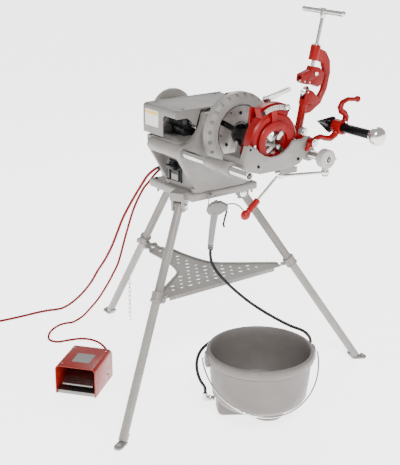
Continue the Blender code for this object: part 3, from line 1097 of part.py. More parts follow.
LOOKS = {
    "stand_paint": material("stand_paint", (0.48, 0.46, 0.43), 0.45, 0.1),
    "cast_paint": material("cast_paint", (0.47, 0.44, 0.42), 0.42, 0.1),
    "ring_paint": material("ring_paint", (0.55, 0.53, 0.49), 0.45, 0.1),
    "clamp_paint": material("clamp_paint", (0.66, 0.65, 0.62), 0.40, 0.1),
    "bucket_plastic": material("bucket_plastic", (0.40, 0.37, 0.36), 0.50, 0.0),
    "gun_plastic": material("gun_plastic", (0.50, 0.49, 0.48), 0.40, 0.0),
    "chuck_face": material("chuck_face", (0.50, 0.48, 0.45), 0.40, 0.4),
    "bright_steel": material("bright_steel", (0.80, 0.79, 0.76), 0.18, 1.0),
    "oiled_steel": material("oiled_steel", (0.42, 0.41, 0.40), 0.35, 1.0),
    "dark_steel": material("dark_steel", (0.12, 0.12, 0.12), 0.40, 0.9),
    "die_steel": material("die_steel", (0.62, 0.61, 0.58), 0.30, 1.0),
    "bronze": material("bronze", (0.55, 0.38, 0.18), 0.35, 1.0),
    "black_oxide": material("black_oxide", (0.025, 0.025, 0.027), 0.35, 0.6),
    "black_enamel": material("black_enamel", (0.02, 0.02, 0.02), 0.40, 0.1),
    "black_plastic": material("black_plastic", (0.015, 0.015, 0.015), 0.40, 0.0),
    "black_rubber": material("black_rubber", (0.02, 0.02, 0.02), 0.55, 0.0),
    "tool_red": material("tool_red", (0.42, 0.012, 0.012), 0.25, 0.1),
    "grip_red": material("grip_red", (0.65, 0.015, 0.02), 0.30, 0.0),
    "cord_red": material("cord_red", (0.28, 0.012, 0.012), 0.45, 0.0),
    "switch_orange": material("switch_orange", (0.58, 0.07, 0.03), 0.30, 0.1),
}

make_stand_top()
for leg_name, leg_azimuth in LEG_AZIMUTHS.items():
    make_leg(leg_name, leg_azimuth)
make_tray()
make_chain()
make_base()
make_hood()
make_drive()
make_spindle()
make_chuck()
make_rails()
make_switch()
make_gland()
make_carriage()
make_lever()
make_die_head()
make_cutter()
make_reamer()
make_gun()
make_bucket()
make_fitting()
make_foot_switch()
make_cords()
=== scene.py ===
import json
import math

import bmesh
import bpy
from mathutils import Matrix, Vector


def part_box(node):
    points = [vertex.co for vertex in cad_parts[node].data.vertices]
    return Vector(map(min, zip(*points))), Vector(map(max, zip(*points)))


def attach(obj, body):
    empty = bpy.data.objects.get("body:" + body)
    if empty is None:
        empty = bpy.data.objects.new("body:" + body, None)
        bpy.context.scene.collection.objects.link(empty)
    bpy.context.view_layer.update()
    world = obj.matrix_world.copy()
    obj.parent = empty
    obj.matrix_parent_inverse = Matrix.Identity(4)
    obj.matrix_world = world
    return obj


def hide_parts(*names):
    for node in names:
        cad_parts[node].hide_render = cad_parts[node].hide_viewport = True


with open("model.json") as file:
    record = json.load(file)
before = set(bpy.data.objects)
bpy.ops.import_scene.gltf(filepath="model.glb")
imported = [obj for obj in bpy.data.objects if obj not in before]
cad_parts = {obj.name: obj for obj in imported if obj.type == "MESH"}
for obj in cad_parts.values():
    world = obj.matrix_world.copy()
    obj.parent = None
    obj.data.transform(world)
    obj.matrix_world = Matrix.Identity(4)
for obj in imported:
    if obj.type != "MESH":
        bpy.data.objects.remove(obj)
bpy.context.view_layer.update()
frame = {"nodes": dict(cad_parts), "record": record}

X, Y, Z = Vector((1, 0, 0)), Vector((0, 1, 0)), Vector((0, 0, 1))
RECORD = frame["record"]
SLOT_OF = {entry["node"]: entry["material_slot"] for entry in RECORD["subparts"]}
BODY_OF = {node: body for body, nodes in RECORD["behaviour"]["bodies"].items() for node in nodes}
base_low, base_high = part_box("base_housing")
tube_low, tube_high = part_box("spindle_tube")

# The machine's own datum: all sizes below are laid out from the tripod's centre line on the floor.
HOME = Vector((base_low.x + 0.062, (tube_low.y + tube_high.y) / 2, 0))
SPINDLE_Z = (tube_low.z + tube_high.z) / 2
ROOT = "stand_and_base"


# ---------------------------------------------------------------- camera

def make_camera():
    azimuth, elevation, roll = math.radians(52.906), math.radians(19.146), math.radians(0.346)
    target, distance = HOME + Vector((0.0126, 0, 0.4834)), 3.2214
    back = Vector((math.sin(azimuth) * math.cos(elevation), -math.cos(azimuth) * math.cos(elevation),
                   math.sin(elevation)))
    right = Vector((math.cos(azimuth), math.sin(azimuth), 0))
    up = back.cross(right)
    data = bpy.data.cameras.new("camera")
    data.sensor_width, data.lens = 36.0, 76.89
    data.clip_start, data.clip_end = 0.05, 60.0
    camera = bpy.data.objects.new("camera", data)
    turn = Matrix((right, up, back)).transposed().to_4x4()
    camera.matrix_world = Matrix.Translation(target + back * distance) @ turn @ Matrix.Rotation(roll, 4, "Z")
    bpy.context.scene.collection.objects.link(camera)
    bpy.context.scene.camera = camera


# ---------------------------------------------------------------- materials

def shader(name, colour, roughness, metallic=0.0):
    made = bpy.data.materials.new(name)
    made.use_nodes = True
    tree = made.node_tree
    surface = next(node for node in tree.nodes if node.type == "BSDF_PRINCIPLED")
    surface.inputs["Base Color"].default_value = (*colour, 1)
    surface.inputs["Roughness"].default_value = roughness
    surface.inputs["Metallic"].default_value = metallic
    surface.inputs["Specular IOR Level"].default_value = 0.32
    place = tree.nodes.new("ShaderNodeTexCoord")
    return made, tree, surface, place


def noise(tree, place, scale, detail=4.0, stretch=(1, 1, 1)):
    mapping = tree.nodes.new("ShaderNodeMapping")
    mapping.inputs["Scale"].default_value = stretch
    tree.links.new(place.outputs["Object"], mapping.inputs["Vector"])
    texture = tree.nodes.new("ShaderNodeTexNoise")
    texture.inputs["Scale"].default_value = scale
    texture.inputs["Detail"].default_value = detail
    tree.links.new(mapping.outputs["Vector"], texture.inputs["Vector"])
    return texture


def spread(tree, texture, low, high, first, last):
    """Map a texture's middle range onto two values or two colours."""
    ramp = tree.nodes.new("ShaderNodeValToRGB")
    ramp.color_ramp.elements[0].position = low
    ramp.color_ramp.elements[1].position = high
    for element, value in zip(ramp.color_ramp.elements, (first, last)):
        element.color = (*value, 1) if isinstance(value, tuple) else (value, value, value, 1)
    tree.links.new(texture.outputs["Fac"], ramp.inputs["Fac"])
    return ramp


def relief(tree, surface, texture, distance, strength=0.5):
    bump = tree.nodes.new("ShaderNodeBump")
    bump.inputs["Strength"].default_value = strength
    bump.inputs["Distance"].default_value = distance
    tree.links.new(texture.outputs["Fac"], bump.inputs["Height"])
    tree.links.new(bump.outputs["Normal"], surface.inputs["Normal"])


def paint(name, colour, roughness=0.4, grain=420.0, depth=0.0006, wear=0.12, coat=0.15):
    made, tree, surface, place = shader(name, colour, roughness)
    clouds = noise(tree, place, 14.0, 6.0)
    dark = tuple(channel * (1 - wear) for channel in colour)
    light = tuple(min(1.0, channel * (1 + wear * 0.4)) for channel in colour)
    tree.links.new(spread(tree, clouds, 0.35, 0.68, dark, light).outputs["Color"], surface.inputs["Base Color"])
    smear = noise(tree, place, 55.0, 5.0)
    tree.links.new(spread(tree, smear, 0.3, 0.75, roughness * 0.82, min(1.0, roughness * 1.25)).outputs["Color"],
                   surface.inputs["Roughness"])
    relief(tree, surface, noise(tree, place, grain, 3.0), depth)
    surface.inputs["Coat Weight"].default_value = coat
    surface.inputs["Coat Roughness"].default_value = 0.25
    return made


def metal(name, colour, roughness=0.25, stretch=(1, 1, 1), grain=260.0, depth=0.0002, wear=0.15):
    made, tree, surface, place = shader(name, colour, roughness, 1.0)
    lines = noise(tree, place, grain, 5.0, stretch)
    dark = tuple(channel * (1 - wear) for channel in colour)
    tree.links.new(spread(tree, noise(tree, place, 40.0, 5.0), 0.35, 0.7, dark, colour).outputs["Color"],
                   surface.inputs["Base Color"])
    tree.links.new(spread(tree, lines, 0.3, 0.75, roughness * 0.7, min(1.0, roughness * 1.4)).outputs["Color"],
                   surface.inputs["Roughness"])
    relief(tree, surface, lines, depth, 0.4)
    return made


def moulded(name, colour, roughness=0.5, grain=900.0, depth=0.0004, wear=0.1):
    made, tree, surface, place = shader(name, colour, roughness)
    dark = tuple(channel * (1 - wear) for channel in colour)
    tree.links.new(spread(tree, noise(tree, place, 22.0, 5.0), 0.35, 0.7, dark, colour).outputs["Color"],
                   surface.inputs["Base Color"])
    tree.links.new(spread(tree, noise(tree, place, 90.0, 4.0), 0.3, 0.7, roughness * 0.85, min(1, roughness * 1.2))
                   .outputs["Color"], surface.inputs["Roughness"])
    relief(tree, surface, noise(tree, place, grain, 2.0), depth)
    return made


LOOK = {
    "stand_paint": paint("stand_paint_look", (0.225, 0.210, 0.195), 0.44, 520.0, 0.0004),
    "cast_paint": paint("cast_paint_look", (0.200, 0.186, 0.173), 0.44, 330.0, 0.0009, 0.16),
    "ring_paint": paint("ring_paint_look", (0.215, 0.203, 0.190), 0.46, 300.0, 0.0010, 0.18),
    "clamp_paint": paint("clamp_paint_look", (0.36, 0.34, 0.32), 0.38, 420.0, 0.0005),
    "bucket_plastic": moulded("bucket_plastic_look", (0.165, 0.149, 0.140), 0.42, 700.0, 0.0003),
    "gun_plastic": moulded("gun_plastic_look", (0.22, 0.21, 0.20), 0.40),
    "chuck_face": metal("chuck_face_look", (0.36, 0.34, 0.32), 0.42, (1, 14, 14), 120.0),
    "bright_steel": metal("bright_steel_look", (0.66, 0.65, 0.63), 0.18, (60, 4, 4), 60.0),
    "oiled_steel": metal("oiled_steel_look", (0.38, 0.37, 0.35), 0.32, (40, 6, 6), 60.0),
    "dark_steel": metal("dark_steel_look", (0.21, 0.20, 0.19), 0.40),
    "die_steel": metal("die_steel_look", (0.60, 0.58, 0.55), 0.26, (8, 40, 40), 60.0),
    "bronze": metal("bronze_look", (0.50, 0.33, 0.15), 0.35),
    "black_oxide": metal("black_oxide_look", (0.020, 0.020, 0.021), 0.36, wear=0.3),
    "black_enamel": paint("black_enamel_look", (0.010, 0.010, 0.0105), 0.40, 300.0, 0.0006, 0.3),
    "black_plastic": moulded("black_plastic_look", (0.007, 0.007, 0.0075), 0.42),
    "black_rubber": moulded("black_rubber_look", (0.006, 0.0055, 0.0055), 0.55, 240.0, 0.0001, 0.3),
    "tool_red": paint("tool_red_look", (0.205, 0.0002, 0.0006), 0.38, 260.0, 0.0003, 0.25, 0.06),
    "grip_red": moulded("grip_red_look", (0.25, 0.0004, 0.0012), 0.34, 500.0, 0.0003, 0.15),
    "cord_red": moulded("cord_red_look", (0.150, 0.0003, 0.0007), 0.60, 60.0, 0.0, 0.1),
    "switch_orange": paint("switch_orange_look", (0.235, 0.0065, 0.0015), 0.38, 300.0, 0.0004, 0.15, 0.1),
    "plate_blank": moulded("plate_blank_look", (0.72, 0.70, 0.64), 0.35, 700.0, 0.0002),
    "plate_yellow": moulded("plate_yellow_look", (0.72, 0.48, 0.06), 0.38, 700.0, 0.0002),
    "plate_grey": moulded("plate_grey_look", (0.22, 0.21, 0.20), 0.35, 500.0, 0.0003),
    "floor": moulded("floor_look", (0.93, 0.93, 0.93), 0.80, 60.0, 0.0002, 0.01),
}
for slot_name in ("tool_red", "cord_red"):
    LOOK[slot_name].node_tree.nodes["Principled BSDF"].inputs["Specular IOR Level"].default_value = 0.16


# ---------------------------------------------------------------- shapes

def to_mesh(shape):
    bmesh.ops.recalc_face_normals(shape, faces=shape.faces)
    mesh = bpy.data.meshes.new("shape")
    shape.to_mesh(mesh)
    shape.free()
    return mesh


def across(axis):
    other = X if abs(axis.x) < 0.9 else Y
    side = axis.cross(other).normalized()
    return side, axis.cross(side).normalized()


def turned(start, axis, profile, segments=64):
    """Revolve a closed profile of (distance along, radius) pairs about an axis."""
    start, axis = Vector(start), Vector(axis).normalized()
    side, other = across(axis)
    shape = bmesh.new()
    rings = []
    for along, radius in profile:
        middle = start + axis * along
        if radius == 0:
            rings.append([shape.verts.new(middle)])
            continue
        rings.append([shape.verts.new(middle + (side * math.cos(turn) + other * math.sin(turn)) * radius)
                      for turn in (2 * math.pi * step / segments for step in range(segments))])
    pairs = list(zip(rings, rings[1:]))
    if profile[0][1] > 0:
        pairs.append((rings[-1], rings[0]))
    for first, second in pairs:
        for step in range(segments):
            after = (step + 1) % segments
            corners = [first[step % len(first)], first[after % len(first)]]
            corners += [second[after % len(second)], second[step % len(second)]]
            unique = list(dict.fromkeys(corners))
            if len(unique) > 2:
                shape.faces.new(unique)
    return to_mesh(shape)


def rod(start, end, radius, end_radius=None, segments=32, round_off=0.0008):
    start, end = Vector(start), Vector(end)
    length = (end - start).length
    last = radius if end_radius is None else end_radius
    edge = min(round_off, radius * 0.4, last * 0.4, length * 0.3)
    profile = [(0, 0), (0, radius - edge), (edge, radius), (length - edge, last), (length, last - edge), (length, 0)]
    return turned(start, end - start, profile, segments)


def pipe(start, end, radius, bore, segments=48, edge=0.0006):
    length = (Vector(end) - Vector(start)).length
    profile = [(edge, bore), (0, bore + edge), (0, radius - edge), (edge, radius), (length - edge, radius),
               (length, radius - edge), (length, bore + edge), (length - edge, bore)]
    return turned(start, Vector(end) - Vector(start), profile, segments)


def prism(outline, origin, u_axis, v_axis, depth):
    origin, depth = Vector(origin), Vector(depth)
    shape = bmesh.new()
    low = [shape.verts.new(origin + Vector(u_axis) * u + Vector(v_axis) * v) for u, v in outline]
    high = [shape.verts.new(vertex.co + depth) for vertex in low]
    shape.faces.new(low)
    shape.faces.new(high)
    for step in range(len(outline)):
        after = (step + 1) % len(outline)
        shape.faces.new([low[step], low[after], high[after], high[step]])
    return to_mesh(shape)


def slab(x_range, outline):
    return prism(outline, (x_range[0], 0, 0), Y, Z, X * (x_range[1] - x_range[0]))


def block(x_range, y_range, z_range):
    corners = [(x_range[0], y_range[0]), (x_range[1], y_range[0]), (x_range[1], y_range[1]), (x_range[0], y_range[1])]
    return prism(corners, (0, 0, z_range[0]), X, Y, Z * (z_range[1] - z_range[0]))


def sweep(points, radii, segments=16, closed=False):
    points = [Vector(point) for point in points]
    if not isinstance(radii, (list, tuple)):
        radii = [radii] * len(points)
    shape = bmesh.new()
    rings = []
    side = None
    count = len(points)
    for index, point in enumerate(points):
        before = points[(index - 1) % count if closed else max(index - 1, 0)]
        after = points[(index + 1) % count if closed else min(index + 1, count - 1)]
        direction = (after - before).normalized()
        if side is None:
            side = across(direction)[0]
        side = (side - direction * side.dot(direction)).normalized()
        other = direction.cross(side)
        rings.append([shape.verts.new(point + (side * math.cos(turn) + other * math.sin(turn)) * radii[index])
                      for turn in (2 * math.pi * step / segments for step in range(segments))])
    pairs = list(zip(rings, rings[1:]))
    if closed:
        pairs.append((rings[-1], rings[0]))
    for first, second in pairs:
        for step in range(segments):
            after = (step + 1) % segments
            shape.faces.new([first[step], first[after], second[after], second[step]])
    if not closed:
        shape.faces.new(rings[0])
        shape.faces.new(rings[-1])
    return to_mesh(shape)


def smooth_path(points, spacing, radii=None):
    """Closely spaced points on a smooth curve through the given ones, with their radii if any."""
    points = [Vector(point) for point in points]
    result, sizes = [], []
    for index in range(len(points) - 1):
        a, b = points[max(index - 1, 0)], points[index]
        c, d = points[index + 1], points[min(index + 2, len(points) - 1)]
        steps = max(2, int((c - b).length / spacing))
        for step in range(steps):
            t = step / steps
            result.append(0.5 * (2 * b + (c - a) * t + (2 * a - 5 * b + 4 * c - d) * t * t
                                 + (3 * b - a - 3 * c + d) * t * t * t))
            if radii:
                sizes.append(radii[index] + (radii[index + 1] - radii[index]) * t)
    result.append(points[-1])
    if radii:
        sizes.append(radii[-1])
        return result, sizes
    return result


def softened(mesh, width, segments=2, least_angle=35.0):
    shape = bmesh.new()
    shape.from_mesh(mesh)
    limit = math.radians(least_angle)
    edges = [edge for edge in shape.edges if len(edge.link_faces) == 2 and edge.calc_face_angle() > limit]
    bmesh.ops.bevel(shape, geom=edges, offset=width, segments=segments, profile=0.5, affect="EDGES",
                    clamp_overlap=True)
    return to_mesh(shape)


def together(*meshes):
    """Several meshes in one, as they are."""
    shape = bmesh.new()
    for mesh in meshes:
        shape.from_mesh(mesh)
    made = bpy.data.meshes.new("group")
    shape.to_mesh(made)
    shape.free()
    return made


def boolean(mesh, tool, operation):
    first = bpy.data.objects.new("first", mesh)
    second = bpy.data.objects.new("second", tool)
    for item in (first, second):
        bpy.context.scene.collection.objects.link(item)
    change = first.modifiers.new("change", "BOOLEAN")
    change.operation, change.solver, change.object = operation, "EXACT", second
    bpy.context.view_layer.update()
    result = bpy.data.meshes.new_from_object(first.evaluated_get(bpy.context.evaluated_depsgraph_get()))
    for item in (first, second):
        bpy.data.objects.remove(item)
    return result


def cut(mesh, *tools):
    for tool in tools:
        mesh = boolean(mesh, tool, "DIFFERENCE")
    return mesh


def add(name, mesh, slot, body, stands_for=(), look=None, angle=38.0, at_home=True):
    """Place a finished piece on a CAD body, shown in the place of the CAD nodes it stands for."""
    if at_home:
        mesh.transform(Matrix.Translation(HOME))
    mesh.shade_smooth()
    mesh.set_sharp_from_angle(angle=math.radians(angle))
    mesh.materials.clear()
    mesh.materials.append(LOOK[look or slot])
    item = bpy.data.objects.new(name, mesh)
    bpy.context.scene.collection.objects.link(item)
    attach(item, body)
    if stands_for:
        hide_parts(*stands_for)
    return item


def finished(node, width=0.0008, segments=2, least_angle=34.0, look=None):
    """The CAD node's own shape with its edges rounded off."""
    source = frame["nodes"][node]
    shape = bmesh.new()
    shape.from_mesh(source.data)
    bmesh.ops.remove_doubles(shape, verts=shape.verts, dist=0.00002)
    bmesh.ops.dissolve_limit(shape, angle_limit=math.radians(1.0), verts=shape.verts, edges=shape.edges)
    limit = math.radians(least_angle)
    if width:
        edges = [edge for edge in shape.edges if len(edge.link_faces) == 2 and edge.calc_face_angle() > limit]
        bmesh.ops.bevel(shape, geom=edges, offset=width, segments=segments, profile=0.5, affect="EDGES",
                        clamp_overlap=True)
    mesh = bpy.data.meshes.new(node)
    shape.to_mesh(mesh)
    shape.free()
    return add(f"{node}_shown", mesh, SLOT_OF[node], BODY_OF[node], (node,), look, at_home=False)


# ---------------------------------------------------------------- cords

def tube(name, points, diameter, slot):
    curve = bpy.data.curves.new(name, "CURVE")
    curve.dimensions = "3D"
    curve.bevel_depth = diameter / 2
    curve.bevel_resolution = 5
    curve.use_fill_caps = True
    spline = curve.splines.new("POLY")
    spline.points.add(len(points) - 1)
    for knot, point in zip(spline.points, points):
        knot.co = (*(point + HOME), 1)
    curve.materials.append(LOOK[slot])
    item = bpy.data.objects.new(name, curve)
    bpy.context.scene.collection.objects.link(item)
    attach(item, ROOT)
    length = sum((b - a).length for a, b in zip(points, points[1:]))
    return item, length


def grounded(points, diameter):
    for point in points:
        point.z = max(point.z, diameter / 2 + 0.0003)
    return points


POWER_CORD = 0.009
FOOT_CORD = 0.008
HOSE = 0.0095
POWER_LINE = [(-0.0688, -0.1061, 0.6990), (-0.0800, -0.1073, 0.6952), (-0.113, -0.116, 0.667), (-0.150, -0.120, 0.622),
              (-0.191, -0.120, 0.574), (-0.228, -0.120, 0.528), (-0.265, -0.120, 0.478), (-0.300, -0.120, 0.420),
              (-0.336, -0.120, 0.361), (-0.382, -0.120, 0.299), (-0.435, -0.120, 0.239), (-0.495, -0.120, 0.167),
              (-0.560, -0.122, 0.103), (-0.616, -0.129, 0.054), (-0.664, -0.142, 0.018), (-0.694, -0.166, 0.0048),
              (-0.707, -0.215, 0.0048), (-0.711, -0.280, 0.0048), (-0.716, -0.340, 0.0048), (-0.7215, -0.385, 0.0048),
              (-0.7255, -0.420, 0.0048), (-0.7271, -0.455, 0.0048)]
FOOT_LINE = [(-0.0688, -0.0801, 0.6990), (-0.0800, -0.0813, 0.6952), (-0.110, -0.087, 0.670), (-0.141, -0.094, 0.634),
             (-0.169, -0.100, 0.601), (-0.213, -0.107, 0.527), (-0.256, -0.113, 0.423), (-0.294, -0.120, 0.317),
             (-0.329, -0.122, 0.261), (-0.368, -0.124, 0.206), (-0.425, -0.128, 0.134), (-0.481, -0.134, 0.074),
             (-0.522, -0.146, 0.0300), (-0.552, -0.172, 0.0043), (-0.560, -0.212, 0.0043), (-0.541, -0.256, 0.0043),
             (-0.508, -0.291, 0.0043), (-0.468, -0.310, 0.0043), (-0.437, -0.296, 0.0043), (-0.425, -0.256, 0.0043),
             (-0.412, -0.218, 0.0043), (-0.386, -0.192, 0.0043), (-0.346, -0.180, 0.0043), (-0.300, -0.184, 0.0043),
             (-0.256, -0.198, 0.0060), (-0.222, -0.220, 0.0140), (-0.1950, -0.2520, 0.0250),
             (-0.1745, -0.2765, 0.0298), (-0.1664, -0.2867, 0.0300)]
HOSE_LINE = [(0.1400, -0.0550, 0.4745), (0.1402, -0.0552, 0.455), (0.1450, -0.0520, 0.430), (0.1590, -0.0420, 0.402),
             (0.1780, -0.0270, 0.376), (0.2060, -0.0060, 0.346), (0.2440, 0.0180, 0.316), (0.2830, 0.0410, 0.293),
             (0.3230, 0.0640, 0.274), (0.3600, 0.0890, 0.257), (0.3890, 0.1170, 0.243), (0.3990, 0.1350, 0.223),
             (0.3970, 0.1450, 0.198), (0.3780, 0.1450, 0.179), (0.3400, 0.1380, 0.171), (0.2950, 0.1180, 0.173),
             (0.2540, 0.0810, 0.179), (0.2240, 0.0300, 0.187), (0.2070, -0.0200, 0.195), (0.2050, -0.0720, 0.200),
             (0.2120, -0.1180, 0.196), (0.2240, -0.1570, 0.184), (0.2420, -0.1830, 0.163), (0.2590, -0.1920, 0.137),
             (0.2720, -0.1900, 0.114), (0.2795, -0.1818, 0.0970), (0.2809, -0.1793, 0.0860),
             (0.2809, -0.1793, 0.0752)]


def make_cords():
    ring_low, ring_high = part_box("power_cord_coil")
    middle = (ring_low + ring_high) / 2 - HOME
    points = grounded(smooth_path(POWER_LINE, 0.004), POWER_CORD)
    layer = POWER_CORD / 2 + 0.0003
    turns = [(0.0649, layer, 0.0), (0.0527, layer, 0.6), (0.0527, layer, 1.0), (0.0433, layer, 1.3),
             (0.0433, layer, 2.0), (0.0433, layer + POWER_CORD, 2.35), (0.0433, layer + POWER_CORD, 3.0),
             (0.0527, layer + POWER_CORD, 3.3), (0.0527, layer + POWER_CORD, 4.125)]
    for (radius, height, turn), (next_radius, next_height, next_turn) in zip(turns, turns[1:]):
        steps = int((next_turn - turn) * 72)
        for step in range(1, steps + 1):
            share = step / steps
            ease = share * share * (3 - 2 * share)
            angle = -2 * math.pi * (turn + (next_turn - turn) * share)
            size = radius + (next_radius - radius) * ease
            points.append(Vector((middle.x + size * math.cos(angle), middle.y + size * math.sin(angle),
                                  height + (next_height - height) * ease)))
    plug_low, plug_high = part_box("power_plug")
    plug_middle = (plug_low + plug_high) / 2 - HOME
    tail = Vector((plug_high.x - HOME.x, plug_middle.y, 0.012))
    last = points[-1]
    tail_line = [last, last + Vector((-0.0125, -0.0125, 0)), tail + Vector((0.006, 0.0015, 0)), tail]
    points += smooth_path(tail_line, 0.003)[1:]
    cord, length = tube("power_cord_shown", points, POWER_CORD, "cord_red")
    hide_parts("power_cord", "power_cord_coil")
    tie_place = Vector((middle.x, middle.y + 0.048, layer + POWER_CORD / 2))
    loop = [tie_place + Vector((0, y, z)) for y, z in
            ((-0.0105, -0.0066), (0.0105, -0.0066), (0.0118, 0.0), (0.0105, 0.0100), (-0.0105, 0.0100),
             (-0.0118, 0.0))]
    band = sweep(smooth_path(loop + loop[:1], 0.002)[:-1], 0.0011, 8, closed=True)
    tie = add("cord_tie", band, "black_plastic", ROOT)
    plug = finished("power_plug", 0.0010)
    points = grounded(smooth_path(FOOT_LINE, 0.004), FOOT_CORD)
    cord, length = tube("foot_switch_cord_shown", points, FOOT_CORD, "cord_red")
    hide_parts("foot_switch_cord")
    points = smooth_path(HOSE_LINE, 0.004)
    hose, length = tube("oil_hose_shown", points, HOSE, "black_rubber")
    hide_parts("oil_hose")
    shapes = []
    for y, diameter in ((-0.103, POWER_CORD), (-0.077, FOOT_CORD)):
        start = Vector((-0.0395, y, 0.709))
        heading = Vector((-0.94, -0.10, -0.32)).normalized()
        profile = [(0, 0), (0, 0.0112), (0.004, 0.0115)]
        for ridge in range(5):
            along = 0.006 + ridge * 0.0048
            size = 0.0100 - ridge * 0.0008
            profile += [(along, size - 0.0012), (along + 0.001, size), (along + 0.0030, size),
                        (along + 0.0040, size - 0.0012)]
        profile += [(0.0300, diameter / 2 + 0.0009), (0.0300, 0)]
        shapes.append(turned(start, heading, profile, 32))
    shapes.append(softened(block((-0.0393, -0.0353), (-0.116, -0.064), (0.694, 0.724)), 0.001))
    for y in (-0.112, -0.068):
        shapes.append(rod((-0.0410, y, 0.709), (-0.0385, y, 0.709), 0.0032, segments=16))
    add("cord_gland_shown", together(*shapes), "black_rubber", ROOT, ("cord_gland",))


# ---------------------------------------------------------------- fasteners and plates

def hex_bolt(place, axis, radius, height):
    """A hexagon head and the washer under it."""
    place, axis = Vector(place), Vector(axis).normalized()
    washer = rod(place, place + axis * height * 0.22, radius * 1.35, segments=24, round_off=0.0003)
    head = rod(place, place + axis * height, radius, segments=6, round_off=0.0008)
    return [washer, head]


def round_spindle(x, radius, turn):
    """A point at a radius and an angle from the spindle's axis."""
    return x, radius * math.cos(turn), SPINDLE_Z + radius * math.sin(turn)


def cap_screw(place, axis, radius, height):
    place, axis = Vector(place), Vector(axis).normalized()
    profile = [(0, 0), (0, radius * 0.9), (height * 0.2, radius), (height * 0.8, radius), (height, radius * 0.85),
               (height, radius * 0.5), (height * 0.4, radius * 0.5), (height * 0.4, 0)]
    return turned(place, axis, profile, 20)


def plate(origin, along, up, size, thickness, round_corner=0.004):
    """A thin plate with round corners, centred on origin."""
    width, height = size[0] / 2 - round_corner, size[1] / 2 - round_corner
    outline = []
    for cx, cy, first in ((width, height, 0), (-width, height, 90), (-width, -height, 180), (width, -height, 270)):
        for step in range(5):
            turn = math.radians(first + 22.5 * step)
            outline.append((cx + round_corner * math.cos(turn), cy + round_corner * math.sin(turn)))
    normal = Vector(along).cross(Vector(up)).normalized()
    return prism(outline, Vector(origin), along, up, normal * thickness)


# ---------------------------------------------------------------- stand

LEGS = {"leg_end": 180.0, "leg_front": -60.0, "leg_back": 60.0}
FOOT_RADIUS, LEG_SPREAD, LEG_TOP = 0.560, 0.424, 0.626
PIVOT_Z, COLLAR_Z = 0.614, 0.370
LEAN = math.atan(LEG_SPREAD / LEG_TOP)


def leg_frame(azimuth):
    angle = math.radians(azimuth)
    outward = Vector((math.cos(angle), math.sin(angle), 0))
    tangent = Vector((-math.sin(angle), math.cos(angle), 0))
    return outward, tangent, outward * (FOOT_RADIUS - PIVOT_Z * math.tan(LEAN)) + Z * PIVOT_Z


def make_stand():
    finished("stand_top", 0.0012)
    for name, azimuth in LEGS.items():
        outward, tangent, pivot = leg_frame(azimuth)
        down = outward * math.sin(LEAN) - Z * math.cos(LEAN)
        finished(name, 0.0007)
        shapes = []
        for side in (-1, 1):
            shapes += hex_bolt(pivot + tangent * side * 0.0210, tangent * side, 0.0080, 0.0055)
        clamp = pivot + down * ((PIVOT_Z - COLLAR_Z) / math.cos(LEAN))
        add(f"{name}_pivot_bolt", together(*shapes), "bright_steel", ROOT)
        band = [pipe(clamp + down * offset - down * 0.003, clamp + down * offset + down * 0.003, 0.0196, 0.0180)
                for offset in (-0.012, 0.012)]
        ear = softened(prism([(-0.006, -0.012), (0.006, -0.012), (0.006, 0.012), (-0.006, 0.012)],
                             clamp + tangent * 0.017, outward, down, tangent * 0.012), 0.001)
        screw = hex_bolt(clamp + tangent * 0.024 + outward * 0.006, outward, 0.0045, 0.0035)
        add(f"{name}_collar", together(*band, ear, *screw), "stand_paint", ROOT)
    shapes = []
    for x, y in ((-0.088, -0.100), (0.110, -0.100), (-0.088, 0.124), (0.110, 0.124)):
        shapes.append(cap_screw((x, y, 0.6598), Z, 0.0060, 0.0040))
    add("stand_screws", together(*shapes), "black_oxide", ROOT, angle=30)


def make_tray():
    half = [(-0.254, 0.020), (-0.225, 0.036), (-0.150, 0.040), (-0.070, 0.052), (-0.010, 0.074), (0.030, 0.122),
            (0.085, 0.200), (0.112, 0.238), (0.130, 0.246), (0.140, 0.235), (0.142, 0.120)]
    fine = [Vector((x, y, 0)) for x, y in half]
    fine = smooth_path(fine, 0.012)
    outline = [(point.x, -point.y) for point in fine] + [(point.x, point.y) for point in reversed(fine)]
    low = 0.3505
    sheet = prism(outline, (0, 0, low), X, Y, Z * 0.0030)
    holes = []
    for row in range(13):
        for column in range(-7, 8):
            x = -0.215 + row * 0.0262
            y = (column + (0.5 if row % 2 else 0)) * 0.034
            reach = min((abs(x - point.x), point.y) for point in fine)[1]
            if abs(y) > reach - 0.024 or x > 0.126 or abs(y) + abs(x + 0.1) * 0.02 > 0.21:
                continue
            long = 0.0062 if (row + column) % 3 else 0.0092
            outline_hole = [(long * math.cos(2 * math.pi * step / 14), 0.0052 * math.sin(2 * math.pi * step / 14))
                            for step in range(14)]
            holes.append(prism(outline_hole, (x, y, low - 0.01), Y, X, Z * 0.02))
    sheet = softened(cut(sheet, together(*holes)), 0.0006, 1)
    edge = []
    for side in (-1, 1):
        line = [Vector((point.x, side * point.y, low + 0.0042)) for point in fine if -0.236 < point.x < 0.128]
        edge.append(sweep(line, 0.0042, 12))
    lip = softened(block((0.1388, 0.1418), (-0.212, 0.212), (0.3405, 0.3530)), 0.0008)
    hinge_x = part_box("tray")[0].x + 0.0085 - HOME.x
    knuckles = []
    for side in (-1, 1):
        a, b = sorted((side * 0.010, side * 0.022))
        knuckles.append(pipe((hinge_x, a, 0.355), (hinge_x, b, 0.355), 0.0085, 0.0046))
        knuckles.append(softened(block((hinge_x + 0.0065, -0.230), (a, b), (0.3510, 0.3560)), 0.0006))
    knuckles.append(rod((hinge_x, -0.0275, 0.355), (hinge_x, -0.0262, 0.355), 0.0062))
    add("tray_shown", together(sheet, *edge, lip, *knuckles), "stand_paint", ROOT, ("tray",))


